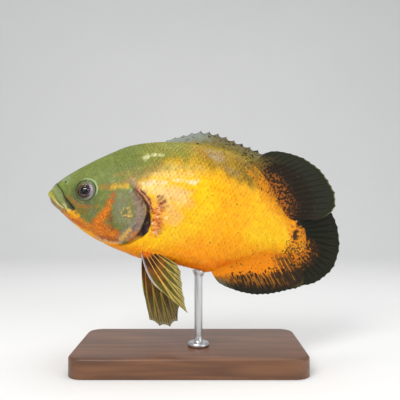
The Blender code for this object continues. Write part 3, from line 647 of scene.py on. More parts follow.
class Shade:
    """The fish's colours, named once."""

    GREEN = srgb(108, 121, 60)
    MOSS = srgb(102, 108, 60)
    OLIVE = srgb(130, 128, 42)
    OCHRE = srgb(152, 122, 26)
    BROWN = srgb(150, 102, 40)
    UMBER = srgb(110, 66, 30)
    GOLD = srgb(255, 190, 4)
    YELLOW = srgb(255, 212, 30)
    ORANGE = srgb(255, 156, 2)
    DEEP = srgb(240, 120, 4)
    RED = srgb(206, 70, 20)
    CREAM = srgb(248, 222, 150)
    PINK = srgb(247, 200, 140)
    WHITE = srgb(246, 236, 206)
    MAUVE = srgb(154, 136, 116)
    GREY = srgb(126, 124, 92)
    LILAC = srgb(134, 112, 104)
    RUST = srgb(188, 104, 30)
    MAROON = srgb(104, 52, 48)
    SLIT = srgb(48, 26, 36)
    BLACK = srgb(34, 35, 27)
    LIP = srgb(166, 160, 62)
    JAW = srgb(140, 150, 100)
    SKY = srgb(160, 178, 150)


@dataclass(frozen=True)
class Coat:
    """Where the fish's colours lie."""

    back_edge: Table = (
        (40, 24), (60, 28), (70, 32), (80, 36), (90, 38), (100, 39), (110, 38.5), (120, 37), (130, 35), (140, 33),
        (150, 30.5), (160, 26.5), (170, 20), (180, 14.5), (190, 12.5), (210, 12),
    )
    head_edge: Table = (
        (-50, 68), (-30, 66), (-12, 76), (0, 76), (10, 68), (16, 65), (20, 66), (24, 70), (30, 78), (36, 84), (44, 88),
        (60, 92),
    )

    def strokes(self) -> list[Stroke]:
        """Everything laid over the ground colours, in order."""
        s = Shade
        return [
            Stroke(srgb(214, 186, 92), ((70, 27, 6), (82, 29, 7), (92, 32, 6)), 0.8, 1.0, 2.5, 3),
            Stroke(s.CREAM, ((74, 16, 8), (86, 14, 10), (96, 13, 10)), 0.7, 0.9, 2.5, 3),
            Stroke(s.PINK, ((84, 10, 7), (90, 2, 8), (96, -4, 8)), 0.55, 0.9, 2.5, 2.5),
            Stroke(srgb(240, 184, 136), ((86, 15, 5), (96, 13, 7), (104, 8, 6)), 0.42, 1.0, 2.5, 2.0),
            Stroke(s.YELLOW, ((86, -18, 8), (104, -14, 10), (118, 8, 9), (112, 26, 6)), 0.5, 1.0, 2, 5),
            Stroke(s.YELLOW, ((150, -4, 8), (172, -4, 7), (184, -2, 6)), 0.4, 1.0, 2, 5),
            Stroke(s.CREAM, ((76, 24, 4), (92, 28, 4), (104, 30, 4)), 0.45, 1.0, 2, 2),
            Stroke(srgb(160, 140, 124), ((115, 50.5, 5), (121, 47.5, 6.5)), 0.8, 1.0, 2.4, 2.6),
            Stroke(srgb(190, 170, 92), ((84, 33, 5), (98, 35, 6), (112, 35, 5)), 0.45, 1.0, 2.4, 3),
            Stroke(s.MAUVE, ((126, 42, 5), (135, 38, 5)), 0.28, 1.0, 2.5, 3),
            Stroke(srgb(150, 84, 26), ((104, 53, 3), (112, 47, 4)), 0.3, 1.0, 2, 2),
            Stroke(srgb(216, 134, 16), ((146, 42, 4), (158, 34, 6), (168, 25, 6), (179, 15, 5)), 0.6, 1.0, 2.4, 1.6),
            Stroke(srgb(222, 216, 184), ((70, 17.0, 1.6), (80, 19.0, 2.2), (88, 21.5, 1.5)), 0.66, 0.9, 1.6, 1.3),
            Stroke(srgb(240, 236, 206), ((92, 23.2, 1.2), (99, 24.6, 2.1), (108, 25.0, 1.2)), 0.72, 0.9, 1.4, 1.3),
            Stroke(s.SKY, ((100, 17, 2.0), (104, 15.5, 2.0)), 0.45, 0.9, 0.8, 2),
            Stroke(s.ORANGE, ((60, -31.5, 3), (76, -32, 6), (96, -32, 5), (130, -33, 6)), 0.9, 0.9),
            # Deeper orange along the belly: partly the fish's own colour, partly painted shade on its underside.
            Stroke(s.DEEP, ((84, -36, 5), (104, -37, 5), (128, -34, 7), (142, -29, 5)), 0.8, 1.0, 1, 4),
            Stroke(s.RED, ((80, -34.5, 3.0), (92, -34, 2.6), (100, -35, 2)), 0.8, 0.9, 1, 3),
            # Painted shade: deeper orange along the crease where the anal fin meets the belly.
            Stroke(s.DEEP, ((128, -33, 2.2), (142, -27.5, 2.0), (152, -22.5, 1.8), (163, -17.0, 1.4), (171, -15, 1)),
                   0.75, 0.9),
            Stroke(srgb(214, 78, 8), ((193.0, 5.4, 3.6), (192.0, -1.4, 3.2)), 0.75, 0.8, 0.8, 1.5),
            Stroke(srgb(24, 8, 4), ((192.9, 4.4, 2.2), (192.1, -0.2, 2.0)), 1.0, 0.25, 0.4, 1.8),
            Stroke(srgb(120, 56, 14), ((186, 9.5, 1.4), (190, 8.8, 1.0)), 0.7, 0.7, 0.6, 1.2),
        ]

    def head_strokes(self) -> list[Stroke]:
        """What is laid over the head's green."""
        s = Shade
        return [
            Stroke(s.GREY, ((57, 2, 11), (60, -8, 11)), 0.85, 0.8, 1, 4),
            Stroke(srgb(120, 128, 100), ((57, -2, 6), (59, -12, 5)), 0.6, 1.0, 1, 3),
            Stroke(s.JAW, ((2, 6, 4.5), (9, 0, 5.0), (15, -6, 3.6)), 0.8, 0.8),
            Stroke(srgb(200, 198, 132), ((14.6, -5.6, 1.6), (16.6, -7.8, 1.7)), 0.8, 1.0, 0.7, 1.2),
            Stroke(srgb(128, 156, 62), ((9.5, 8.6, 2.2), (11.5, 6.6, 1.8)), 0.7, 1.0, 0.6, 1.5),
            Stroke(s.SKY, ((6, 13, 4), (14, 14, 4)), 0.25, 1.0),
            # Painted highlight: pale patches on the nape stand in for a glint of light on the skin.
            Stroke(srgb(222, 226, 176), ((66.5, 37.0, 1.8), (70, 39.8, 3.0), (73.6, 41.4, 2.2)), 0.75, 0.9, 1.2, 1.2),
            Stroke(srgb(222, 226, 176), ((78, 42.4, 1.5),), 0.7, 0.9, 0.9, 1.0),
            Stroke(srgb(112, 122, 106), ((33, -5, 5), (38, -9, 5)), 0.35, 1.0, 1.0, 3),
            Stroke(srgb(144, 122, 60), ((50, 20, 4), (60, 22, 6), (70, 26, 7), (80, 33, 6)), 0.6, 1.0, 2.5, 2.5),
            Stroke(srgb(176, 146, 84), ((62, 19, 3), (70, 22, 4), (78, 28, 3.5)), 0.5, 1.0, 2.5, 1.5),
            Stroke(srgb(160, 116, 44), ((37, 9.0, 2.6), (44, 10.5, 3.8), (54, 13, 4.0), (59, 17, 3.4)), 0.75, 1.0, 1.6, 1.6),
            Stroke(srgb(216, 172, 48), ((48.5, 11.2, 2.2), (54, 12.4, 3.2), (59, 13.2, 2.6)), 0.8, 1.0, 1.3, 1.3),
            Stroke(srgb(186, 178, 160), ((47, 15.2, 1.1), (49.6, 16.0, 0.8)), 0.5, 1.0, 0.8, 0.8),
            Stroke(s.SKY, ((62.5, 10.4, 1.8),), 0.6, 1.0, 0.6, 1.2),
            Stroke(srgb(140, 112, 92), ((60, 17.5, 3.0), (66, 15, 3.6)), 0.7, 1.0, 1.6, 1.2),
            Stroke(srgb(176, 150, 132), ((62, 17.6, 1.6), (67, 14.6, 1.6)), 0.6, 1.0, 1.6, 0.8),
            Stroke(srgb(150, 100, 40), ((16, 0.5, 2.0), (20, -2.2, 3.2), (26, -4.8, 3.0), (33, -5.4, 2.6), (40, -3.6, 2.0)), 0.62, 1.0, 1.6, 1.4),
            Stroke(srgb(168, 98, 24), ((21, -2.6, 1.6), (27, -4.8, 1.8), (34, -5.6, 1.6)), 0.7, 1.0, 1.4, 1.1),
            Stroke(srgb(150, 104, 40), ((22, -7, 2.4), (27, -10, 3.4), (33, -9.5, 3.0)), 0.5, 1.0, 1.8, 1.2),
            Stroke(srgb(226, 132, 8), ((14.5, -11.5, 2.8), (24, -15.5, 3.6), (34, -19.5, 4.4), (44, -24, 5.0)), 0.88, 0.8, 1.6, 1.3),
            Stroke(s.RUST, ((26, -17, 2.0), (36, -20.5, 3.2), (50, -25.5, 3.4), (56, -26, 2.4)), 0.7, 0.9, 1.2, 1.6),
            Stroke(srgb(255, 176, 6), ((18.6, -9.6, 1.6), (22.4, -11.6, 2.8), (26.0, -13.2, 2.4)), 0.95, 0.7, 1.0, 0.9),
            Stroke(srgb(250, 214, 120), ((18.2, -9.2, 1.0), (20.6, -9.6, 1.1)), 0.8, 0.8, 0.6, 0.7),
            Stroke(srgb(190, 70, 24), ((22.4, -15.0, 1.2), (25.6, -16.6, 1.7), (29.5, -19.6, 1.4)), 0.85, 0.9, 0.9, 1.0),
            Stroke(srgb(184, 88, 22), ((50.4, 6.0, 1.8), (48.6, -3, 3.8), (45.4, -10, 5.2), (42.5, -16, 6.8), (47, -20.5, 7.2),
                                       (56, -22.4, 5.4)), 0.94, 0.8, 2.0, 1.5),
            Stroke(srgb(216, 114, 24), ((46.5, -6, 2.0), (42.5, -13, 3.4), (40, -18, 3.8), (47, -22.5, 3.4),
                                        (53, -23.5, 2.4)), 0.7, 1.0, 2.0, 1.2),
            Stroke(srgb(124, 70, 44), ((50.4, -8, 1.8), (51.4, -14, 2.6), (53.4, -19, 1.8)), 0.7, 1.0, 1.2, 1.4),
            Stroke(srgb(134, 108, 62), ((50.8, 7.4, 2.6), (49.6, 1.6, 3.4), (47.6, -4, 3.0)), 0.55, 1.0, 2.2, 1.2),
            Stroke(srgb(128, 58, 32), ((46, -25.2, 1.2), (52, -25.6, 1.9), (57.5, -25.0, 2.1), (61, -22.6, 1.3)), 0.75, 1.0,
                   0.9, 1.4),
            Stroke(s.LILAC, ((65, 8.5, 4.6), (71.4, 1, 8.4), (73.4, -8, 10), (69.4, -17, 9.4), (62, -23, 6.4)),
                   0.92, 1.0, 2.2, 2),
            Stroke(srgb(128, 128, 112), ((70, -9, 3.2), (66.5, -14.5, 4.6), (63, -19.5, 3.8)), 0.6, 1.0, 1.2, 2),
            Stroke(srgb(168, 162, 146), ((70.5, -8, 0.5), (66.5, -11.6, 0.6), (62, -14, 0.5)), 0.4, 1.0, 0.7, 1.2),
            Stroke(srgb(168, 162, 146), ((69.6, -12.4, 0.5), (65.5, -16.0, 0.6)), 0.4, 1.0, 0.7, 1.2),
            Stroke(srgb(150, 122, 112), ((71, -2, 3.0), (72, -10, 3.4), (69, -17, 2.6)), 0.5, 1.0, 1.8, 1.3),
            Stroke(srgb(168, 136, 128), ((69, 2, 2.4), (70, -5, 2.6)), 0.4, 1.0, 1.2, 1.2),
            Stroke(srgb(88, 76, 92), ((70.5, -13, 1.6), (68.5, -18.6, 2.2)), 0.6, 1.0, 0.5, 1.5),
            Stroke(s.MAROON, ((64, 11.4, 1.0), (68, 8.0, 1.5), (71.4, 3.6, 1.3), (73, 0.8, 0.8)), 0.75, 0.9, 0.7, 1.0),
            Stroke(srgb(214, 164, 82), ((66.4, -17.2, 1.4), (64.0, -21.4, 2.8), (60.6, -25.0, 2.6)), 0.9, 1.0, 1.2, 1.1),
            Stroke(srgb(192, 114, 58), ((70.4, -19.4, 2.6), (66.6, -24.4, 3.0)), 0.85, 1.0, 1.0, 1.2),
            Stroke(srgb(198, 158, 142), ((61, -26.9, 1.5), (54, -28.0, 1.4), (47, -27.0, 1.2), (41, -25.0, 0.8)), 0.8, 0.9,
                   0.3, 2),
            # Painted highlight: a pale arc along the eye's rear rim.
            Stroke(s.SKY, ((34.6, 13.6, 1.5), (38.2, 7.4, 1.6), (36.0, 0.8, 1.0)), 0.35, 1.0),
            *self.ring_spots(),
        ]

    def ring_spots(self) -> list[Stroke]:
        """Small broken ring of gold spots on the gill cover."""
        gold, dark = srgb(226, 186, 96), srgb(92, 66, 44)
        spots = []
        for i in range(9):
            turn = 2 * pi * i / 9
            x, height = 61.6 + 3.3 * cos(turn) + 0.5 * sin(5 * turn), -5.6 + 2.9 * sin(turn) + 0.4 * cos(4 * turn)
            spots.append(Stroke(dark, ((x + 0.8, height - 0.8, 0.9),), 0.8, 0.7))
            spots.append(Stroke(gold, ((x, height, 1.05),), 0.9, 0.6))
        return spots

    def late_strokes(self) -> list[Stroke]:
        """What is laid over flank and head alike."""
        s = Shade
        dashes = (
            (84.6, 7.4), (86.6, 5.6), (82.8, 9.0), (90.4, 3.8), (88.0, 1.2), (85.6, 10.0), (88.8, 7.2), (83.2, 5.4),
        )
        warm = (
            (92.6, 9.4), (97.6, 13.4), (101.6, 10.4), (105.2, 14.2), (99.0, 7.0), (108.8, 12.2), (95.6, 5.2),
            (103.6, 6.0), (100.4, 15.6), (112.0, 9.4), (94.2, 15.4), (107.0, 8.2),
        )
        rng = np.random.default_rng(7)
        spots = []
        for i in range(72):
            down, across = rng.uniform(0, 1), rng.uniform(-1, 1)
            place = (84.4 + 1.2 * sin(pi * down) + across * (1.6 + 2.4 * sin(pi * down)), 5.0 - 23.5 * down)
            colour = (srgb(120, 38, 44), srgb(255, 220, 172), srgb(236, 104, 30), srgb(170, 64, 34))[i % 4]
            spots.append(Stroke(colour, ((*place, rng.uniform(0.6, 1.0)),), 0.95, 0.4, 0.5, 1.0))
        return [
            Stroke(srgb(150, 92, 78), ((65, 13.4, 1.6), (71, 10.0, 2.8), (76.0, 5.0, 3.0), (79.4, -1.0, 2.6)), 0.85, 0.7, 1.0, 1.2),
            Stroke(s.MAROON, ((64.5, 12.0, 0.8), (69.4, 9.4, 1.1), (74.0, 5.0, 1.1), (77.4, 0.0, 1.0)), 0.95, 0.6, 0.5, 0.8),
            Stroke(srgb(66, 30, 46), ((70.0, 11.6, 0.7), (74.6, 8.2, 0.9), (78.6, 3.0, 1.0), (80.4, -3.0, 0.8)), 0.9, 0.7, 0.7,
                   0.8),
            Stroke(srgb(214, 150, 110), ((68.6, 11.2, 0.5), (73.2, 7.6, 0.7), (77.4, 2.6, 0.6)), 0.8, 0.8, 0.5, 0.7),
            Stroke(srgb(218, 128, 56), ((82.6, 3.4, 2.6), (84.6, -4, 4.6), (85.4, -12, 5.0), (84, -18, 3.0)), 0.92, 0.8, 2.4, 1.1),
            Stroke(srgb(252, 196, 120), ((82.6, 1, 1.8), (84.6, -7, 2.8), (85.4, -13, 2.4)), 0.6, 0.8, 2.6, 0.9),
            Stroke(srgb(196, 92, 52), ((83.6, -1, 1.2), (86.0, -8, 1.6), (86.0, -14, 1.4)), 0.7, 0.9, 2.4, 0.8),
            Stroke(srgb(120, 50, 44), ((79.6, -3, 0.9), (81.0, -10, 1.1), (81.2, -15, 1.0)), 0.7, 0.9, 1.0, 0.8),
            *spots,
            *(Stroke(srgb(112, 48, 40), ((x, z + 1.1, 0.85), (x - 0.4, z - 1.1, 0.6)), 0.85, 0.6, 0.4, 1) for x, z in dashes),
            *(Stroke(srgb(222, 132, 20), ((x, z + 1.4, 1.1), (x - 0.4, z - 1.4, 0.9)), 0.75, 0.7, 0.4, 1) for x, z in warm),
        ]

    def flank(self, points: Array) -> Array:
        """Ground colours of the flank and the back."""
        x, height = points[:, 0], points[:, 2]
        wander = 3.4 * Noise(11).at(points, (5, 9, 9)) + 2.2 * Noise(12).at(points, (1.3, 6, 5))
        wander += 1.0 * Noise(14).at(points, (0.8, 3, 2.4))
        tint = np.broadcast_to(Shade.GOLD, (len(points), 3)).copy()

        def lay(colour: Colour, share: Array) -> None:
            tint[:] = tint + (np.array(colour) - tint) * np.clip(share, 0, 1)[:, None]

        lay(Shade.ORANGE, 0.9 * smooth(-2, -24, height + wander) * smooth(84, 112, x + 2 * wander))
        lay(Shade.ORANGE, 0.5 * smooth(112, 136, x) * smooth(156, 140, x))
        # Deeper orange low on the belly: partly the fish's own colour, partly painted shade on its underside.
        lay(Shade.DEEP, 0.85 * smooth(-22, -36, height + 0.4 * wander))
        edge = height - through(self.back_edge, x) + wander
        lay(srgb(226, 168, 40), 0.75 * smooth(-12, -2, edge))
        band = smooth(-4.5, 5.0, edge / (1 + 0.9 * smooth(134, 112, x)))
        lay(Shade.OLIVE, band * smooth(118, 96, x))
        lay(Shade.OCHRE, band * smooth(92, 112, x + wander))
        lay(srgb(150, 116, 36), band * smooth(118, 138, x + wander))
        lay(srgb(250, 170, 10), 0.85 * smooth(-8, -3, edge) * smooth(6, 0, edge) * smooth(146, 158, x + 0.5 * wander))
        lay(srgb(120, 98, 40), 0.8 * smooth(0, 9, edge) * smooth(130, 142, x) * smooth(160, 150, x))
        lay(srgb(216, 136, 16), smooth(-4, 8, edge) * smooth(148, 160, x + wander))
        lay(srgb(150, 84, 30), 0.5 * smooth(3, 9, edge) * smooth(154, 168, x + wander))
        lay(Shade.OLIVE, 0.45 * smooth(50, 58, height) * smooth(96, 104, x) * smooth(150, 136, x))
        lay(srgb(236, 144, 14), 0.85 * smooth(182, 190, x + 0.5 * wander))
        lay(srgb(196, 104, 20), 0.6 * smooth(190, 199, x + 0.5 * wander) * smooth(-4, 8, height))
        return tint

    def stirred(self, points: Array) -> Array:
        """Points moved a little at random, so that no mark has a drawn edge."""
        moved = points.copy()
        for column, seed in ((0, 63), (2, 65)):
            moved[:, column] += 0.9 * Noise(seed).at(points, 2.8) + 0.45 * Noise(seed + 1).at(points, 1.2)
        return moved

    def tint(self, points: Array) -> Array:
        """Colour of the skin and of the scales at each point of the straight fish."""
        stirred = self.stirred(points)
        x, height = stirred[:, 0], stirred[:, 2]
        tint = self.flank(stirred)
        for stroke in self.strokes():
            self.lay(tint, stroke, stirred)
        wander = 4.0 * Noise(13).at(points, 7.0) + 2.5 * Noise(15).at(points, (1.6, 5, 5))
        softness = 1 + 9 * smooth(12, 24, height) + 3 * smooth(-24, -30, height)
        edge = (through(self.head_edge, height) - x) / softness + 0.2 * wander
        share = smooth(-1.0, 1.0, edge)[:, None] * smooth(-27, -25, height + 0.28 * np.minimum(x - 60, 0) + 2)[:, None]
        low = smooth(0.0, -1.0, along(points[:, (0, 2)], HEAD.cover_edge)[0])
        share[:, 0] *= 1 - low * smooth(10, 6, points[:, 2])
        green = np.broadcast_to(Shade.GREEN, (len(points), 3)).copy()
        green += (np.array(Shade.MOSS) - green) * (0.7 * smooth(14, -10, height))[:, None]
        green += (np.array(srgb(124, 128, 52)) - green) * (0.7 * smooth(56, 72, x) * smooth(20, 34, height))[:, None]
        tint += (green - tint) * share
        near = points[:, 0] < 92
        if near.any():
            part = tint[near]
            plain = part.copy()
            for stroke in self.head_strokes():
                self.lay(part, stroke, stirred[near])
            flat = points[near][:, (0, 2)]
            past = smooth(0.4, -0.4, along(flat, HEAD.opening_edge)[0]) * smooth(60, 63, flat[:, 0])
            past = past * smooth(13.4, 11.0, flat[:, 1]) * smooth(-31, -27, flat[:, 1])
            part += (plain - part) * past[:, None]
            for stroke in self.late_strokes():
                self.lay(part, stroke, stirred[near])
            tint[near] = self.face(part, points[near])
        return np.clip(tint, 0, 1)

    def face(self, tint: Array, points: Array) -> Array:
        """Lips, eye ring, nostril, jaw groove and gill slit, with painted shade in the mouth's seam, the jaw groove,
        the nostril, round the eyeball and in the gill slit, and a painted highlight on the eye ring.
        """
        flat = points[:, (0, 2)]
        mouth, share, _ = along(flat, HEAD.mouth)
        inside = smooth(1.0, 0.94, share)

        def lay(colour: Colour, part: Array) -> None:
            tint[:] = tint + (np.array(colour) - tint) * np.clip(part, 0, 1)[:, None]

        width = HEAD.lip_width(share)
        lay(srgb(104, 96, 46), 0.6 * inside * hump(mouth + width + 0.3, 0.5) * smooth(0.15, 0.35, share))
        lay(Shade.LIP, inside * smooth(width + 0.1, width - 0.7, -mouth) * (mouth < 0) * 0.9)
        lay(srgb(196, 190, 96), 0.7 * inside * hump(mouth + 0.8, 0.9) * smooth(0.7, 0.4, share))
        lay(srgb(222, 200, 146), inside * hump(mouth + 0.7, 0.6) * smooth(0.4, 0.7, share) * 0.9)
        lay(srgb(150, 112, 74), inside * smooth(3.0, 1.8, mouth) * (mouth > 0) * 0.8)
        lay(srgb(122, 108, 108), inside * smooth(3.2, 2.0, mouth) * (mouth > 0) * smooth(0.62, 0.4, share) * 0.85)
        lay(srgb(190, 168, 140), inside * hump(mouth - 0.75, 0.5) * 0.4)
        # Painted shade along the seam of the closed mouth.
        lay(srgb(96, 84, 52), inside * hump(mouth, 0.3) * 0.7)
        groove, share, _ = along(flat, HEAD.jaw_groove)
        ends = smooth(0.0, 0.1, share) * smooth(1.0, 0.93, share)
        # Painted shade in the jaw groove: a dark band beside it and a near-black line in it.
        lay(srgb(70, 70, 58), hump(groove - 0.5, 0.5 + 1.7 * share**2) * ends * smooth(0.45, 0.7, share))
        lay(srgb(26, 36, 14), hump(groove + 0.05, 0.4 + 0.5 * share**2) * ends)
        eye = HEAD.from_eye(points)
        turn = np.arctan2(flat[:, 1] - HEAD.eye[1], flat[:, 0] - HEAD.eye[0])
        # Painted light on the eye ring: a pale painted highlight on its upper rear side, painted shade on the side away
        # from it.
        bright = 0.5 + 0.5 * np.cos(turn - radians(52))
        lay(srgb(180, 204, 150), 0.95 * hump(eye - 8.7, 0.58) * smooth(0.6, 0.92, bright))
        lay(srgb(84, 100, 44), 0.7 * hump(eye - 8.8, 0.8) * smooth(0.74, 0.3, bright))
        lay(srgb(58, 72, 62), 0.5 * hump(eye - 9.6, 0.7) * (1 - bright))
        lay(srgb(96, 110, 88), 0.4 * hump(eye - 10.6, 1.1) * smooth(8, 0, flat[:, 1]))
        # Painted shade in the socket round the eyeball.
        lay(srgb(66, 66, 50), smooth(8.3, 7.9, eye))
        hole = np.hypot(flat[:, 0] - HEAD.nostril[0], flat[:, 1] - HEAD.nostril[1])
        lay(srgb(140, 160, 116), 0.5 * hump(hole - 1.4, 0.6))
        # Painted shade in the nostril's pit.
        lay(srgb(78, 88, 50), smooth(1.0, 0.5, hole))
        for x, height in HEAD.pores:
            lay(srgb(70, 74, 44), 0.45 * hump(np.hypot(flat[:, 0] - x, flat[:, 1] - height), 0.5))
        # Painted shade inside the gill slit: dark maroon, near black over its lower middle.
        deep = smooth(1.5, -5.0, flat[:, 1] + 1.6 * Noise(62).at(points, 1.6)) * smooth(-21.5, -18.8, flat[:, 1])
        slot = HEAD.slot(flat)
        lay(srgb(98, 52, 56), 0.75 * slot * smooth(9.0, 5.0, flat[:, 1]) * smooth(-23.5, -20.0, flat[:, 1]))
        lay(Shade.SLIT, slot * deep)
        lay(srgb(66, 44, 110), 0.5 * slot * hump(flat[:, 1] + 15.5, 2.6) * smooth(77.5, 79.0, flat[:, 0]))
        return tint

    def lay(self, tint: Array, stroke: Stroke, points: Array) -> None:
        """Lays one stroke over colours, in place."""
        tint += (np.array(stroke.colour) - tint) * np.clip(stroke.cover(points), 0, 1)[:, None]

    def marks(self, points: Array) -> Array:
        """Strength of the net on the cheek, of the dashes on the scales and of the dark pattern at the fins."""
        x, height = points[:, 0], points[:, 2]
        cheek = Stroke(Shade.RUST, ((49.4, 1, 1.6), (47, -7, 5.0), (43, -15, 7), (46, -21, 7.0), (55, -23, 6.0)), 1, 1)
        jaw = Stroke(Shade.RUST, ((24, -14, 2.5), (34, -18.5, 4.0), (44, -23, 4.0)), 0.7, 0.8)
        fin = Stroke(Shade.RUST, ((82.4, 3, 3.0), (85.0, -6, 5.0), (85.4, -13, 5.0), (84, -18, 3.0)), 0.35, 0.6)
        net = np.maximum(np.maximum(cheek.cover(points), jaw.cover(points)), fin.cover(points))
        dash = smooth(70, 88, x + 0.3 * height) * smooth(-34, -18, height)
        dash = dash * (0.64 + 0.36 * smooth(0, 26, height))
        edge = height - through(self.back_edge, x)
        dark = 0.26 * smooth(-2, 7, edge) * smooth(132, 152, x) + 0.2 * smooth(4, 10, edge) * smooth(158, 174, x)
        dark = np.maximum(dark, (0.4 + 0.14 * smooth(0, -12, height)) * smooth(183, 192, x - 0.3 * height))
        spot = Stroke(Shade.BLACK, ((192.9, 4.4, 2.4), (192.1, -0.2, 2.2)), 1, 0.4).cover(points)
        dark = dark * (1 - spot) + 1.2 * spot * smooth(0.4, 0.8, spot)
        return np.stack([net, dash * (1 - spot), dark], axis=1)


COAT = Coat()


@dataclass(frozen=True)
class FleshFinish:
    """Wet, painted flesh: the colours kept on the mesh, broken up by fine pattern."""

    name: str
    plates: bool = False

    def make(self) -> bpy.types.Material:
        """Material for the skin, or for the scales, which carry the same markings."""
        g = Graph(self.name, coat_roughness=0.2, coat_ior=1.3, specular_ior_level=0.14)
        fish = g.attribute(FISH)
        tint = g.attribute(TINT, "Color")
        net, dash, dark = g.parts(g.attribute(MARKS))
        mottle = g.noise(fish, 0.3, 4.0, 0.62)
        speck = g.noise(fish, 1.5, 3.0, 0.6)
        streak = g.noise(g.stretched(fish, (1.1, 0.4, 0.26)), 1.0, 3.0, 0.55)
        colour = g.mix(mottle.step(0.35, 0.7) * 0.32, tint, g.mix(1.0, tint, (0.72, 0.68, 0.5), "MULTIPLY"))
        colour = g.mix((1 - mottle.step(0.3, 0.5)) * 0.22, colour, g.mix(0.35, colour, (0.9, 0.76, 0.14)))
        colour = g.mix(streak.step(0.54, 0.72) * dash * 0.3, colour, (0.98, 0.64, 0.05))
        colour = g.mix((1 - streak.step(0.3, 0.46)) * dash * 0.3, colour, (0.75, 0.36, 0.02))
        grain = g.noise(g.stretched(fish, (0.8, 0.8, 1.1)), 1.0, 4.0, 0.7)
        bare = (1 - dash) * (1 - net)
        colour = g.mix(grain.step(0.48, 0.66) * bare * 0.4, colour, g.mix(1.0, colour, (0.66, 0.62, 0.5), "MULTIPLY"))
        colour = g.mix((1 - grain.step(0.34, 0.46)) * bare * 0.28, colour, g.mix(0.3, colour, (0.6, 0.66, 0.34)))
        colour = g.mix(speck.step(0.5, 0.72) * 0.3, colour, g.mix(1.0, colour, (0.6, 0.52, 0.4), "MULTIPLY"))
        drift = g.node("ShaderNodeTexNoise", {}, {"Vector": fish, "Scale": 0.7, "Detail": 3.0}).outputs[1]
        drift = g.stretched(Wire(g, drift), (2.2, 2.2, 2.2))
        bent = Wire(g, g.node("ShaderNodeVectorMath", {"operation": "ADD"}, {0: fish, 1: drift}).outputs[0])
        web = 1 - g.cells(bent, 0.8, "DISTANCE_TO_EDGE").step(0.03, 0.2)
        colour = g.mix(net * (1 - web) * 0.56, colour, srgb(116, 52, 24))
        colour = g.mix(net * web * 0.62, colour, srgb(250, 150, 44))
        blots = (g.noise(bent, 0.62, 1.5) + dark * 0.5).step(0.7, 0.78)
        colour = g.mix(blots * 0.85, colour, srgb(66, 30, 16))
        rough = 0.4 + mottle * 0.12
        if self.plates:
            root, side, chance = g.parts(g.attribute("plate"))
            middle = root.step(0.42, 0.56) * (1 - root.step(0.7, 0.86)) * (1 - g.math("ABSOLUTE", side).step(0.3, 0.75))
            colour = g.mix(middle * dash * chance.step(0.1, 0.8) * 0.44, colour,
                           g.mix(1.0, colour, (0.62, 0.36, 0.12), "MULTIPLY"))
            # Painted light on each scale: a lighter rear rim as painted highlight and a darker overlapped root as
            # painted shade.
            rim = root.step(0.84, 1.0)
            colour = g.mix(rim * 0.25, colour, g.mix(0.4, colour, (1.0, 0.8, 0.12)))
            colour = g.mix((1 - root.step(0.42, 0.6)) * 0.32, colour, g.mix(1.0, colour, (0.5, 0.38, 0.25), "MULTIPLY"))
            rings = g.math("SINE", root * 46.0)
            g.relief((rings, 0.25, 0.00002), (speck, 0.2, 0.00005))
            rough = rough + rings * 0.02
        else:
            pebble = g.cells(fish, 1.9)
            g.relief((pebble, 0.35, 0.00006), (g.noise(fish, 3.2, 3.0), 0.35, 0.00008))
        g.set("Base Color", colour)
        g.set("Roughness", rough)
        g.set("Coat Weight", 0.05 + mottle * 0.12)
        return g.material


@dataclass(frozen=True)
class Skin:
    """One skin over head, jaws, gill covers, trunk and tail stalk."""

    snout_rings: int = 58
    head_rings: int = 168
    trunk_rings: int = 98
    sides: int = 284
    snout_end: float = 12.0
    head_end: float = 82.0
    crowding: float = 0.35
    coat_depth: float = 0.4

    def stations(self) -> Array:
        """Where the rings stand, closest together on the head."""
        return np.concatenate([
            np.linspace(0, self.snout_end**0.5, self.snout_rings) ** 2,
            np.linspace(self.snout_end, self.head_end, self.head_rings)[1:],
            np.linspace(self.head_end, BODY.end, self.trunk_rings)[1:],
        ])

    def points(self) -> Array:
        """The skin of the straight fish, ring by ring."""
        turn = np.linspace(0, 2 * pi, self.sides + 1)
        angle = turn + self.crowding * np.sin(2 * turn) / 2
        stations = self.stations()
        rings = BODY.skin(stations[:, None], angle[None, :])
        outward = BODY.normal(stations[:, None], angle[None, :])
        outward[0] = (-1, 0, 0)
        flat = rings.reshape(-1, 3)
        lift = np.zeros(len(flat))
        near = flat[:, 0] < 92
        lift[near] = HEAD.lift(flat[near])
        lift -= self.coat_depth * SCALES.cover(flat)
        lift += 0.12 * Noise(3).at(flat, 9.0) * smooth(0, 20, flat[:, 0])
        vent = np.hypot(flat[:, 0] - 125.0, flat[:, 1] * 1.4)
        lift += 1.3 * hump(vent, 1.9) * (flat[:, 2] < -20)
        skin = rings + outward * lift.reshape(rings.shape[:2])[..., None]
        skin[-1] = skin[-1].mean(axis=0)
        return skin

    def build(self) -> bpy.types.Object:
        """Makes and dresses the skin."""
        points = self.points()
        flat = points.reshape(-1, 3)
        skin = grid("Skin", POSE.place(points), {
            FISH: flat, TINT: coloured(COAT.tint(flat)), MARKS: COAT.marks(flat),
        })
        finished(skin, FleshFinish("Wet_skin").make(), "trunk", "head", "upper_jaw", "lower_jaw",
                 "gill_cover_left", "gill_cover_right", "trunk", "tail_stalk")
        return skin


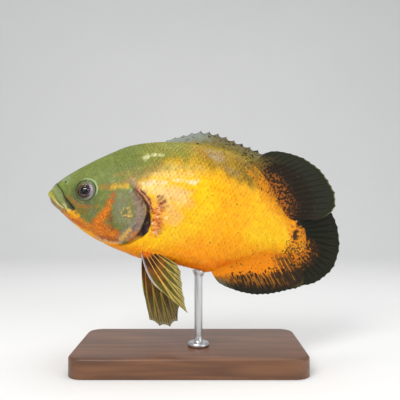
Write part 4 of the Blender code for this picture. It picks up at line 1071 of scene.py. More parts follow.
class Unrolled:
    """The body's side laid flat: x along the fish, q along the skin, up from a middle line."""

    def __init__(self) -> None:
        """Works out the table of angles."""
        self.xs = np.linspace(20, BODY.end, 376)
        self.qs = np.linspace(-80, 80, 321)
        angles = np.linspace(-0.9, pi + 0.9, 541)
        rings = BODY.skin(self.xs[:, None], angles[None, :])
        steps = np.linalg.norm(np.diff(rings, axis=1), axis=2)
        arcs = np.concatenate([np.zeros((len(self.xs), 1)), np.cumsum(steps, axis=1)], axis=1)
        self.angles, self.top, self.bottom = [], [], []
        for ring, arc, middle in zip(rings, arcs, self.line(self.xs)):
            back, belly = np.interp([0, pi], angles, arc)
            part = (angles >= 0) & (angles <= pi)
            zero = np.interp(-middle, -ring[part, 2], arc[part])
            self.angles.append(np.interp(zero - self.qs, arc, angles))
            self.top.append(zero - back)
            self.bottom.append(zero - belly)
        self.angles, self.top, self.bottom = np.array(self.angles), np.array(self.top), np.array(self.bottom)

    def line(self, x: Array) -> Array:
        """Height of the middle line, from the gill opening to the middle of the tail."""
        return through(((20, 8), (75, 9), (110, 9.5), (150, 5), (185, 0), (208, -0.5)), x)

    def angle(self, x: Array, q: Array) -> Array:
        """Angle round the body at x and q."""
        a = np.clip((x - self.xs[0]) / (self.xs[1] - self.xs[0]), 0, len(self.xs) - 1.001)
        b = np.clip((q - self.qs[0]) / (self.qs[1] - self.qs[0]), 0, len(self.qs) - 1.001)
        i, j = a.astype(int), b.astype(int)
        a, b = a - i, b - j
        t = self.angles
        return (t[i, j] * (1 - a) * (1 - b) + t[i + 1, j] * a * (1 - b) + t[i, j + 1] * (1 - a) * b
                + t[i + 1, j + 1] * a * b)


@dataclass(frozen=True)
class Plates:
    """The shape of one scale: a thin closed plate, rounded at its rear.

    Args:
        rows: Points along the plate, as shares of its length and of its half width there.
        columns: Points across it.
    """

    rows: Table = ((0.0, 0.55), (0.3, 0.92), (0.6, 1.0), (0.84, 0.86), (1.0, 0.6))
    columns: int = 6

    def build(self) -> tuple[Array, list[tuple[int, ...]]]:
        """Models the plate once, as by hand.

        Returns:
            Its points, as share of the length, of the half width and of the thickness, and its faces.
        """
        bpy.ops.object.select_all(action="DESELECT")
        bpy.ops.mesh.primitive_grid_add(x_subdivisions=self.columns - 1, y_subdivisions=len(self.rows) - 1, size=2.0)
        plate = bpy.context.object
        bpy.ops.object.mode_set(mode="EDIT")
        bpy.ops.mesh.select_all(action="SELECT")
        bpy.ops.mesh.extrude_region_move(TRANSFORM_OT_translate={"value": (0.0, 0.0, 1.0)})
        bpy.ops.mesh.select_all(action="DESELECT")
        bpy.ops.object.mode_set(mode="OBJECT")
        for face in plate.data.polygons:
            face.select = abs(face.center.z) < 0.1
        bpy.ops.object.mode_set(mode="EDIT")
        bpy.ops.mesh.dissolve_faces()
        bpy.ops.mesh.select_all(action="SELECT")
        bpy.ops.mesh.normals_make_consistent(inside=False)
        bpy.ops.object.mode_set(mode="OBJECT")
        points = np.array([vertex.co[:] for vertex in plate.data.vertices])
        faces = [tuple(face.vertices) for face in plate.data.polygons]
        bpy.data.objects.remove(plate)
        row = np.round((points[:, 1] + 1) / 2 * (len(self.rows) - 1)).astype(int)
        share, wide = np.array(self.rows)[row].T
        across = points[:, 0] * wide
        low = points[:, 2] < 0.5
        return np.stack([share - 0.16 * across**2 * share, across, np.where(low, -1.0, 0.0)], axis=1), faces


@dataclass(frozen=True)
class Scales:
    """The coat of scales on head and body, in rows along the fish.

    Args:
        front: Line in side view in front of which the body carries no scales.
        step: Distance between scales along a row, by place along the fish.
        row: Distance between rows.
    """

    front: Table = (
        (40, 60), (41, 44), (43, 34), (47, 25), (53, 19.5), (60, 16.6), (68, 12.6), (74.4, 8.4), (79.4, 2.4),
        (81.4, -5), (82.4, -11), (81.6, -18), (77.6, -23.4), (70, -28.6), (62, -34), (58, -44),
    )
    step: Table = ((20, 2.5), (60, 2.8), (100, 3.1), (150, 2.8), (208, 1.9))
    row: Table = ((20, 2.4), (60, 2.7), (100, 2.9), (150, 2.7), (208, 1.9))
    overlap: float = 1.85
    width: float = 1.5
    rise: float = 0.62
    thickness: float = 0.2
    sunk: float = -0.5
    seed: int = 21

    def behind(self, flat: Array) -> Array:
        """Distance behind the line where the scales start."""
        return -along(flat, self.front)[0]

    def cover(self, points: Array) -> Array:
        """How fully each point of the body is covered by scales, 0 to 1."""
        near = points[:, 0] < 90
        share = np.ones(len(points))
        flat = points[near][:, (0, 2)]
        lobe, _, radius = along(flat, HEAD.fin_lobe)
        share[near] = smooth(0.3, 2.0, self.behind(flat)) * smooth(0.9, 1.3, np.abs(lobe) / radius[:, 0])
        return share * smooth(204, 198, points[:, 0])

    def roots(self) -> tuple[Array, Array, Array]:
        """Places of all scales of one side, as x, q and size."""
        walk = [24.0]
        while walk[-1] < 203:
            walk.append(walk[-1] + float(through(self.step, walk[-1])))
        walk = np.array(walk)
        order = np.arange(len(walk))
        places = []
        for row in range(-30, 31):
            x = np.interp(order + 0.5 * (row % 2), order, walk)
            q = row * through(self.row, x)
            keep = (q < np.interp(x, SIDE.xs, SIDE.top) + 0.4) & (q > np.interp(x, SIDE.xs, SIDE.bottom) - 0.4)
            places.append(np.stack([x[keep], q[keep]], axis=1))
        x, q = np.concatenate(places).T
        return x, q, through(self.step, x)

    def sort(self) -> dict[str, Array]:
        """Which scales of one side belong to the body, and which to the gill cover and the cheek."""
        x, q, size = self.roots()
        flat = BODY.skin(x, SIDE.angle(x, q))
        spots = flat[:, (0, 2)] + (0.8, 0)
        behind = self.behind(spots)
        lobe, _, radius = along(spots, HEAD.fin_lobe)
        body = (behind > 0.2) & (np.abs(lobe) > 1.15 * radius[:, 0]) & (x < 199)
        cover, share, _ = along(spots, HEAD.cover_edge)
        cheek, _, _ = along(spots, HEAD.cheek_edge)
        eye = HEAD.from_eye(flat)
        plate = (cover > 7.5) & (cheek < -2.2) & (flat[:, 2] < 11) & (flat[:, 2] > -25) & (share > 0.02) & (x > 50)
        cheeks = (cheek > 2.4) & (eye > 13.0) & (x > 36) & (flat[:, 2] < 6) & (flat[:, 2] > -19)
        return {"body": body, "head": (plate | cheeks) & ~body & (behind < -1.5)}

    def joined(self, name: str, side: int, keep: Array, height: float) -> bpy.types.Object:
        """One joined mesh of scales.

        Args:
            name: The piece's name.
            side: -1 for the left, 1 for the right.
            keep: Which roots of the lattice carry a scale.
            height: Share of the full rise and thickness.

        Returns:
            The piece.
        """
        x, q, size = (column[keep] for column in self.roots())
        plate, faces = Plates().build()
        rng = np.random.default_rng(self.seed + side)
        chance = rng.uniform(0, 1, (4, len(x)))
        size = size * (0.96 + 0.08 * chance[0])
        turn = (chance[1] - 0.5) * 0.16
        a, b, h = (plate[None, :, i] for i in range(3))
        length, half = (size * self.overlap)[:, None], (through(self.row, x) * self.width / 2)[:, None]
        forward, across = (a - 0.42) * length, b * half
        px = x[:, None] + forward * np.cos(turn)[:, None] - across * np.sin(turn)[:, None]
        pq = q[:, None] + forward * np.sin(turn)[:, None] + across * np.cos(turn)[:, None]
        shape = px.shape
        angle = SIDE.angle(px.ravel(), pq.ravel())
        base = BODY.skin(px.ravel(), angle)
        outward = BODY.normal(px.ravel(), angle)
        lift = height * (self.rise * a - 0.1 * b**2 * a + self.thickness * h * (1.6 - 0.6 * a)) + 0.03 * (chance[2, :, None] - 0.5)
        lift = (lift + self.sunk * height + (0.02 if height < 1 else 0)).ravel()
        near = base[:, 0] < 92
        lift[near] += HEAD.lift(base[near])
        points = (base + outward * lift[:, None]) * (1, side, 1)
        centre = np.repeat(BODY.skin(x + 0.25 * size, SIDE.angle(x + 0.25 * size, q)), shape[1], axis=0) * (1, side, 1)
        tint = 0.5 * COAT.tint(base * (1, side, 1)) + 0.5 * COAT.tint(centre)
        light = 1 + 0.16 * (np.repeat(chance[3], shape[1]) - 0.5)
        tint = np.clip(tint * light[:, None], 0, 1)
        marks = COAT.marks(base * (1, side, 1))
        own = np.stack([np.broadcast_to(a, shape).ravel(), np.broadcast_to(b, shape).ravel(),
                        np.repeat(chance[2], shape[1])], axis=1)
        spread = np.stack([0.02 + x / 220.0, 0.5 + side * 0.25 + q / 330.0], axis=1)
        patch = np.stack(np.broadcast_arrays(a - 0.5, b / 2), axis=-1) * 0.003
        uv = (spread[:, None, :] + patch).reshape(-1, 2)
        return many(name, POSE.place(points), faces, len(x), {
            FISH: points, TINT: coloured(tint), MARKS: marks, "plate": own,
        }, uv)

    def build(self) -> None:
        """Makes all scales of body and head and dresses them."""
        finish = FleshFinish("Scales", plates=True).make()
        sets = self.sort()
        for side, word in ((-1, "left"), (1, "right")):
            body = self.joined(f"Scales_body_{word}", side, sets["body"], 1.0)
            finished(body, finish, "trunk")
            head = self.joined(f"Scales_head_{word}", side, sets["head"], 0.45)
            finished(head, finish, "gill_cover")


def many(name: str, points: Array, faces: list[tuple[int, ...]], count: int, attributes: dict[str, Array],
         uv: Array) -> bpy.types.Object:
    """One mesh of many like plates.

    Args:
        name: The piece's name.
        points: The points of all plates, one plate after another.
        faces: The faces of one plate.
        count: How many plates there are.
        attributes: Values for each point.
        uv: Place of each point on the unrolled skin.

    Returns:
        The piece, with a UV map of each point's place on the unrolled skin.
    """
    size = len(points) // count
    sizes = np.array([len(face) for face in faces])
    corners = np.concatenate([np.array(face) for face in faces])
    loops = (corners[None, :] + size * np.arange(count)[:, None]).ravel()
    mesh = bpy.data.meshes.new(name)
    mesh.vertices.add(len(points))
    mesh.vertices.foreach_set("co", np.asarray(points, np.float32).ravel())
    mesh.loops.add(len(loops))
    mesh.loops.foreach_set("vertex_index", loops.astype(np.int32))
    mesh.polygons.add(len(faces) * count)
    starts = np.concatenate([[0], np.cumsum(np.tile(sizes, count))[:-1]])
    mesh.polygons.foreach_set("loop_start", starts.astype(np.int32))
    mesh.update(calc_edges=True)
    mesh.validate()
    layer = mesh.uv_layers.new(name="OFBake")
    layer.data.foreach_set("uv", np.asarray(uv, np.float32)[loops].ravel())
    for key, values in attributes.items():
        store(mesh, key, values)
    piece = bpy.data.objects.new(name, mesh)
    bpy.context.collection.objects.link(piece)
    bpy.ops.object.select_all(action="DESELECT")
    piece.select_set(True)
    bpy.context.view_layer.objects.active = piece
    bpy.ops.object.shade_smooth_by_angle(angle=radians(50))
    return piece


SIDE = Unrolled()
SCALES = Scales()


def blend(tint: Array, colour: Colour, share: Array) -> None:
    """Mixes a colour into colours, in place, by a share at each point."""
    tint += (np.array(colour) - tint) * np.clip(share, 0, 1)[..., None]


@dataclass(frozen=True)
class FinFinish:
    """Skin of a fin over its rays, with spots and bars where the mesh asks for them."""

    name: str
    clear: bool = False
    dashes: tuple[float, float] = (1.9, 13.0)

    def make(self) -> bpy.types.Material:
        """Makes the material."""
        g = Graph(self.name, coat_roughness=0.2, coat_ior=1.3, specular_ior_level=0.12)
        fish = g.attribute(FISH)
        place, reach, ridge = g.parts(g.attribute("ray"))
        dark, drawn, alpha = g.parts(g.attribute("fine"))
        mottle = g.noise(fish, 0.4, 4.0, 0.6)
        colour = g.attribute(TINT, "Color")
        colour = g.mix(mottle.step(0.35, 0.7) * 0.35, colour, g.mix(1.0, colour, (0.55, 0.5, 0.42), "MULTIPLY"))
        rayed = g.node("ShaderNodeCombineXYZ", {}, {0: place * self.dashes[0], 1: reach * self.dashes[1], 2: mottle * 0.8})
        blots = g.noise(fish, 0.55, 1.5) * (1 - drawn) + g.noise(Wire(g, rayed.outputs[0]), 1.0, 1.0) * drawn
        colour = g.mix((blots + dark * 0.5).step(0.7, 0.78) * 0.92, colour, srgb(32, 24, 15))
        colour = g.mix(ridge * 0.1, colour, g.mix(0.2, colour, (0.5, 0.42, 0.24)))
        joints = g.math("SINE", reach * 260.0)
        g.relief((joints * ridge, 0.2, 0.00005), (g.noise(fish, 2.2, 3.0), 0.3, 0.00008))
        g.set("Base Color", colour)
        g.set("Roughness", 0.46 + mottle * 0.12)
        g.set("Coat Weight", 0.04 + mottle * 0.08)
        if self.clear:
            g.set("Alpha", alpha)
        return g.material


@dataclass(frozen=True)
class Fin:
    """A fin: a thin closed sheet whose rays stand out on both sides and branch towards the edge.

    Args:
        name: The piece's name.
        node: The solid it stands for, which also names its slot.
        rays: How many rays it has.
        rows: Points along a ray.
        notch: How far the membrane falls short of the ray tips, as a share of the ray.
        ridge: Height of the rays at the root, in millimetres.
        plate: Half thickness of the membrane.
        flesh: Further half thickness where the fin leaves the body.
        flesh_reach: How far that reaches along the rays.
        sunk: How deep the roots lie in the body.
        ripple: How far the membrane waves.
        splits: Where the rays branch, as shares of their length.
        clear: Whether the membrane lets light through.
        per_ray: Points from one ray to the next.
        dashes: How close the drawn marks stand, across the rays and along them.
    """

    name: str
    node: str
    rays: int
    rows: int = 46
    notch: float = 0.02
    ridge: float = 0.2
    plate: float = 0.2
    flesh: float = 1.1
    flesh_reach: float = 2.2
    sunk: float = 3.5
    ripple: float = 0.5
    splits: tuple[float, float] = (0.32, 0.64)
    clear: bool = False
    per_ray: int = 14
    dashes: tuple[float, float] = (1.9, 13.0)

    def lines(self, share: Array) -> tuple[Array, Array, Array]:
        """Roots, middles and tips of the lines that make up the sheet."""
        raise NotImplementedError

    def paint(self, points: Array, share: Array, reach: Array, ridge: Array) -> tuple[Array, Array]:
        """Colours, and the strength of spots, bars and alpha, at each point."""
        raise NotImplementedError

    def crest(self, place: Array, reach: Array) -> Array:
        """Height of the branching rays, 0 to 1."""
        away = (place - np.round(place))[:, None]
        first = 0.25 * smooth(self.splits[0], 1.0, reach)[None, :]
        second = 0.125 * smooth(self.splits[1], 1.0, reach)[None, :]
        width = (0.115 - 0.05 * reach)[None, :]
        best = np.zeros((len(place), len(reach)))
        for one in (-1, 1):
            for two in (-1, 1):
                best = np.maximum(best, hump(away - one * first - two * second, width))
        return best

    def build(self) -> bpy.types.Object:
        """Makes and dresses the fin."""
        share = np.linspace(0, 1, (self.rays - 1) * self.per_ray + 1)
        place = share * (self.rays - 1)
        reach = np.linspace(0, 1, self.rows)
        roots, middles, tips = (line[:, None, :] for line in self.lines(share))
        between = np.abs(np.sin(pi * place)) ** 0.8
        rng = np.random.default_rng(len(self.name))
        uneven = np.interp(place, np.arange(self.rays), rng.uniform(-0.012, 0.012, self.rays))
        v = (reach[None, :] * (1 - self.notch * between + uneven)[:, None])[..., None]
        middle = (1 - v) ** 2 * roots + 2 * v * (1 - v) * middles + v * v * tips
        across = np.cross(np.gradient(middle, axis=0), np.gradient(middle, axis=1))
        across /= np.maximum(np.linalg.norm(across, axis=2, keepdims=True), 1e-9)
        wave = Noise(31).at(middle.reshape(-1, 3), (13, 30, 13)).reshape(middle.shape[:2])
        middle = middle + across * (self.ripple * wave * reach[None, :] ** 1.2)[..., None]
        length = np.linalg.norm(np.diff(middle, axis=1), axis=2)
        grown = np.concatenate([np.zeros((len(share), 1)), np.cumsum(length, axis=1)], axis=1) - self.sunk
        crest = self.crest(place, reach)
        half = self.plate * (1 - 0.45 * reach)[None, :] + self.ridge * crest * (1 - 0.7 * reach)[None, :]
        half = half + self.flesh * np.exp(-np.maximum(grown, 0) / self.flesh_reach)
        edge = smooth(0, 0.5, np.minimum(place, self.rays - 1 - place))[:, None]
        half = half * (0.45 + 0.55 * edge)
        half[:, -1] = half[:, 0] = 0
        front, back = middle + across * half[..., None], middle - across * half[..., None]
        sheet = np.concatenate([front, back[::-1], front[:1]]).transpose(1, 0, 2)
        flat = sheet.reshape(-1, 3)

        def ring(values: Array) -> Array:
            return np.concatenate([values, values[::-1], values[:1]]).T.ravel()

        shares = ring(np.broadcast_to(share[:, None], crest.shape))
        reaches = ring(np.broadcast_to(reach[None, :], crest.shape))
        tint, fine = self.paint(flat, shares, reaches, ring(crest))
        rays = np.stack([shares * (self.rays - 1), reaches, ring(crest)], axis=1)
        fin = grid(self.name, POSE.place(sheet), {
            FISH: flat, TINT: coloured(np.clip(tint, 0, 1)), "ray": rays, "fine": np.clip(fine, 0, 1),
        })
        finished(fin, FinFinish(self.name + "_skin", self.clear, self.dashes).make(), self.slot(), self.node)
        return fin

    def slot(self) -> str:
        """Name for the fin's finish, taken from its solid's name."""
        return self.node.replace("_left", "").replace("_right", "")


def edge_line(tips: Table, share: Array) -> Array:
    """Places along a fin's edge, in side view."""
    line = spaced(softened(tips, 3), 400)
    where = share * (len(line) - 1)
    return np.stack([np.interp(where, np.arange(len(line)), column) for column in line.T], axis=1)


@dataclass(frozen=True)
class MiddleFin(Fin):
    """Fin on the middle plane, rooted on the back or the belly.

    Args:
        base: Where it starts and ends along the body.
        tips: Its edge in side view.
        edge: The body's table that it stands on.
        bow: How far the middle of the rays leans from a straight line.
        sway: How far its rear swings to the fish's left.
    """

    base: tuple[float, float] = (0.0, 0.0)
    tips: Table = ()
    edge: str = "back"
    bow: tuple[float, float, float] = (0.0, 0.0, 0.0)
    sway: float = 0.0

    def lines(self, share: Array) -> tuple[Array, Array, Array]:
        """Roots, middles and tips."""
        x = self.base[0] + share * (self.base[1] - self.base[0])
        table = getattr(BODY, self.edge)
        slope = (through(table, x + 1, root=True) - through(table, x - 1, root=True)) / 2
        inward = -self.sunk if self.edge == "back" else self.sunk
        away = inward / np.sqrt(1 + slope**2)
        roots = np.stack([x - slope * away, x * 0, through(table, x, root=True) + away], axis=1)
        ends = edge_line(self.tips, share)
        swing = -self.sway * (1 - np.exp(-np.maximum(ends[:, 0] - BODY.length + 15, 0) / 40))
        tips = np.stack([ends[:, 0], swing, ends[:, 1]], axis=1)
        return roots, (roots + tips) / 2 + np.array(self.bow), tips


class SpinyDorsal(MiddleFin):
    """Low front part of the dorsal fin, stiffened by spines."""

    def paint(self, points: Array, share: Array, reach: Array, ridge: Array) -> tuple[Array, Array]:
        """Grey, clear membrane that darkens to the rear, with paler spines and a painted grey-blue highlight on its
        outer front part.
        """
        wander = Noise(41).at(points, 3.0)
        tint = np.broadcast_to(srgb(112, 116, 66), (len(points), 3)).copy()
        # Painted highlight: pale grey-blue over the outer front part of the membrane.
        blend(tint, srgb(146, 160, 150), 0.8 * smooth(0.3, 0.7, reach + 0.2 * wander) * smooth(0.75, 0.5, share))
        blend(tint, srgb(140, 124, 58), 0.9 * smooth(0.35, 0.6, share + 0.1 * wander))
        blend(tint, srgb(128, 124, 110), 0.5 * smooth(0.4, 0.9, reach) * smooth(0.35, 0.6, share))
        blend(tint, srgb(76, 62, 38), 0.55 * ridge * smooth(0.3, 0.55, share))
        blend(tint, srgb(150, 128, 52), 0.7 * smooth(0.55, 0.25, reach + 0.1 * wander))
        blend(tint, srgb(150, 140, 150), 0.4 * ridge * smooth(0.1, 0.5, reach) * smooth(0.5, 0.3, share))
        blend(tint, srgb(66, 62, 50), 0.6 * smooth(0.84, 1.0, reach) * smooth(0.3, 0.5, share))
        dark = 0.18 + 0.16 * smooth(0.4, 0.9, share)
        alpha = 0.97 - 0.3 * smooth(0.4, 0.9, reach) * (1 - ridge) * smooth(0.6, 0.4, share)
        return tint, np.stack([dark, 1 + 0 * reach, alpha], axis=1)


class SoftDorsal(MiddleFin):
    """Tall black rear lobe of the dorsal fin."""

    def paint(self, points: Array, share: Array, reach: Array, ridge: Array) -> tuple[Array, Array]:
        """Black, with tan spots on maroon at the root and a thin pale rear edge that is painted rim light."""
        wander = 0.05 * Noise(42).at(points, 4.0)
        tint = np.broadcast_to(srgb(34, 36, 27), (len(points), 3)).copy()
        far = reach + wander
        blend(tint, srgb(54, 36, 25), smooth(0.7, 0.3, far))
        blend(tint, srgb(108, 92, 44), smooth(0.3, 0.08, share) * smooth(0.8, 0.2, far))
        blend(tint, srgb(158, 90, 26), smooth(0.4, 0.14, far) * smooth(0.1, 0.55, share))
        blend(tint, srgb(118, 88, 36), 0.8 * smooth(0.4, 0.12, far) * smooth(0.5, 0.1, share))
        blend(tint, srgb(40, 26, 20), 0.9 * smooth(0.88, 0.96, share))
        blend(tint, srgb(74, 72, 46), 0.1 * ridge * smooth(0.2, 0.5, reach))
        # Painted light: the thin pale rear edge stands in for light along the fin's rim.
        rim = smooth(0.968, 0.995, reach) * smooth(0.15, 0.4, share) * smooth(0.97, 0.88, share)
        blend(tint, srgb(150, 158, 84), 0.5 * rim)
        dark = np.clip(0.5 + 0.8 * (far - 0.12) - 0.4 * smooth(0.3, 0.08, share), 0, 0.9) * smooth(0.8, 0.42, reach)
        return tint, np.stack([dark, 0.35 * smooth(0.2, 0.5, reach), 1 + 0 * reach], axis=1)


class AnalFin(MiddleFin):
    """Anal fin: orange at the root, black along the edge."""

    def paint(self, points: Array, share: Array, reach: Array, ridge: Array) -> tuple[Array, Array]:
        """Orange with dots, then with bars that follow the rays, then black."""
        wander = 0.05 * Noise(43).at(points, 4.0)
        far = reach + wander - 0.1 * smooth(0.3, 0.7, share)
        tint = np.broadcast_to(srgb(28, 28, 18), (len(points), 3)).copy()
        blend(tint, srgb(150, 94, 24), smooth(0.86, 0.62, far))
        blend(tint, srgb(236, 136, 4), smooth(0.6, 0.34, far))
        blend(tint, srgb(104, 102, 84), 0.7 * smooth(0.2, 0.04, share) * smooth(0.45, 0.75, reach))
        dark = 0.1 + 0.5 * smooth(0.2, 0.6, far) * smooth(0.06, 0.26, share) + 0.12 * smooth(0.7, 0.9, share)
        drawn = smooth(0.34, 0.52, far)
        blend(tint, srgb(50, 40, 24), 0.85 * smooth(0.68, 0.84, share) * smooth(0.6, 0.2, ridge) * smooth(0.05, 0.25, reach))
        blend(tint, srgb(128, 104, 50), 0.4 * ridge * smooth(0.74, 0.9, share))
        return tint, np.stack([np.where(far > 0.84, 0.2, dark), drawn, 1 + 0 * reach], axis=1)


@dataclass(frozen=True)
class TailFin(Fin):
    """Rounded fan at the end of the tail stalk.

    Args:
        tips: Its edge in side view, from the top down.
        root_x: Where its rays start.
        root: Heights of the topmost and the lowest root.
        black: Where the fin turns black, as (height, x).
    """

    tips: Table = ()
    root_x: float = 193.0
    root: tuple[float, float] = (12.2, -13.0)
    black: Table = (
        (-36, 196), (-28, 204), (-20, 214), (-14, 220), (-8, 224), (-2, 223), (3, 214), (6, 205), (10, 200), (15, 196),
        (34, 190),
    )

    def lines(self, share: Array) -> tuple[Array, Array, Array]:
        """Roots, middles and tips."""
        height = self.root[0] + share * (self.root[1] - self.root[0])
        roots = np.stack([np.full(len(share), self.root_x), height * 0, height], axis=1)
        ends = edge_line(self.tips, share)
        tips = np.stack([ends[:, 0], ends[:, 0] * 0, ends[:, 1]], axis=1)
        return roots, (roots + tips) / 2 + (1.0, 0.0, 0.0), tips

    def paint(self, points: Array, share: Array, reach: Array, ridge: Array) -> tuple[Array, Array]:
        """Orange root with dark spots, then dashes along the rays, then black."""
        black = through(self.black, points[:, 2]) + 1.6 * Noise(44).at(points, 4.0)
        far = points[:, 0] - black
        tint = np.broadcast_to(srgb(24, 26, 15), (len(points), 3)).copy()
        blend(tint, srgb(112, 72, 20), smooth(2.0, -4.0, far))
        blend(tint, srgb(172, 102, 22), smooth(-4.0, -12.0, far))
        blend(tint, srgb(216, 122, 14), smooth(-12.0, -22.0, far))
        blend(tint, srgb(64, 64, 38), 0.1 * ridge * smooth(0.0, 8.0, far))
        blend(tint, srgb(96, 100, 60), 0.4 * smooth(0.975, 1.0, reach))
        dark = 0.36 + 0.38 * smooth(-22.0, -4.0, far)
        drawn = smooth(196, 202, points[:, 0])
        return tint, np.stack([dark * smooth(3.0, 0.0, far), drawn, 1 + 0 * reach], axis=1)


@dataclass(frozen=True)
class PelvicFin(Fin):
    """One spine and five branched rays below the chest.

    Args:
        tips: Where the rays end, front to back, given for the left fin.
        side: -1 for the left, 1 for the right.
        base: Where the first and the last ray start along the belly.
        bow: How far the middle of the first ray leans from a straight line.
    """

    tips: Table = ()
    side: int = -1
    base: tuple[float, float] = (75.0, 86.0)
    bow: tuple[float, float, float] = (-1.4, 0.0, -8.0)

    def lines(self, share: Array) -> tuple[Array, Array, Array]:
        """Roots, middles and tips."""
        x = self.base[0] + share * (self.base[1] - self.base[0])
        angle = np.full(len(x), pi - 0.52)
        roots = (BODY.skin(x, angle) - self.sunk * BODY.normal(x, angle)) * (1, self.side, 1)
        ends = np.array(self.tips, float)
        where = share * (len(ends) - 1)
        tips = np.stack([np.interp(where, np.arange(len(ends)), column) for column in ends.T], axis=1)
        lean = np.array(self.bow) * ((1 - share)[:, None]) ** 2
        return roots, (roots + tips) / 2 + lean, tips

    def paint(self, points: Array, share: Array, reach: Array, ridge: Array) -> tuple[Array, Array]:
        """Brown membrane between bright cream rays, with a pale first spine; the right fin gets painted shade all over
        and a painted yellow highlight along its front ray.
        """
        tint = np.broadcast_to(srgb(66, 38, 18), (len(points), 3)).copy()
        blend(tint, srgb(150, 96, 28), 0.5 * smooth(0.24, 0.4, reach) * smooth(0.6, 0.4, reach))
        blend(tint, srgb(98, 94, 36), 0.8 * smooth(0.3, 0.7, reach + 0.2 * Noise(45).at(points, 4.0)))
        blend(tint, srgb(120, 118, 76), 0.5 * smooth(0.75, 1.0, reach))
        blend(tint, srgb(214, 106, 20), smooth(0.17, 0.08, reach))
        blend(tint, srgb(226, 168, 82), 0.9 * smooth(0.3, 0.75, ridge) * smooth(0.07, 0.14, reach))
        blend(tint, srgb(158, 154, 80), 0.7 * smooth(0.3, 0.8, ridge) * smooth(0.4, 0.7, reach))
        # Painted light on the right fin: painted shade over all of it and a painted highlight along its front ray.
        if self.side > 0:
            blend(tint, srgb(74, 50, 28), 0.45 + 0 * reach)
            blend(tint, srgb(168, 164, 44), 0.8 * smooth(0.09, 0.03, share) * smooth(0.4, 0.6, reach))
        else:
            blend(tint, srgb(176, 170, 178), 0.85 * smooth(0.06, 0.01, share))
        blend(tint, srgb(206, 206, 176), 0.4 * smooth(0.95, 1.0, reach))
        fine = np.stack([0.08 + 0 * reach, 1 + 0 * reach, 1 - 0.25 * smooth(0.5, 1, reach) * (1 - ridge)], axis=1)
        return tint, fine


@dataclass(frozen=True)
class PectoralFin(Fin):
    """Clear paddle behind the gill opening, folded back along the flank.

    Args:
        base: The line on the body that carries it, in side view.
        tips: Its edge in side view.
        spread: How far its edge stands off the flank.
        side: -1 for the left, 1 for the right.
    """

    base: Table = ()
    tips: Table = ()
    spread: float = 9.0
    side: int = -1

    def lines(self, share: Array) -> tuple[Array, Array, Array]:
        """Roots, middles and tips."""
        flat = edge_line(self.base, share)
        angle = BODY.angle_at(flat[:, 0], flat[:, 1])
        roots = BODY.skin(flat[:, 0], angle) - (self.sunk - 1.2) * BODY.normal(flat[:, 0], angle)
        ends = edge_line(self.tips, share)
        tips = np.stack([ends[:, 0], BODY.side(ends[:, 0], ends[:, 1]) + self.spread, ends[:, 1]], axis=1)
        middles = (roots + tips) / 2 + (0.0, 3.0, 0.0)
        both = (1, self.side, 1)
        return roots * both, middles * both, tips * both

    def paint(self, points: Array, share: Array, reach: Array, ridge: Array) -> tuple[Array, Array]:
        """Amber rays in a clear membrane."""
        tint = np.broadcast_to(srgb(214, 168, 90), (len(points), 3)).copy()
        blend(tint, srgb(226, 150, 60), smooth(0.35, 0.1, reach))
        blend(tint, srgb(196, 128, 50), 0.5 * ridge)
        alpha = 0.02 + 0.06 * ridge * smooth(1.0, 0.4, reach) + 0.6 * smooth(0.16, 0.06, reach) + 0.04 * smooth(0.95, 1, reach)
        return tint, np.stack([0.5 * smooth(0.2, 0.1, reach), 0 * reach, alpha], axis=1)


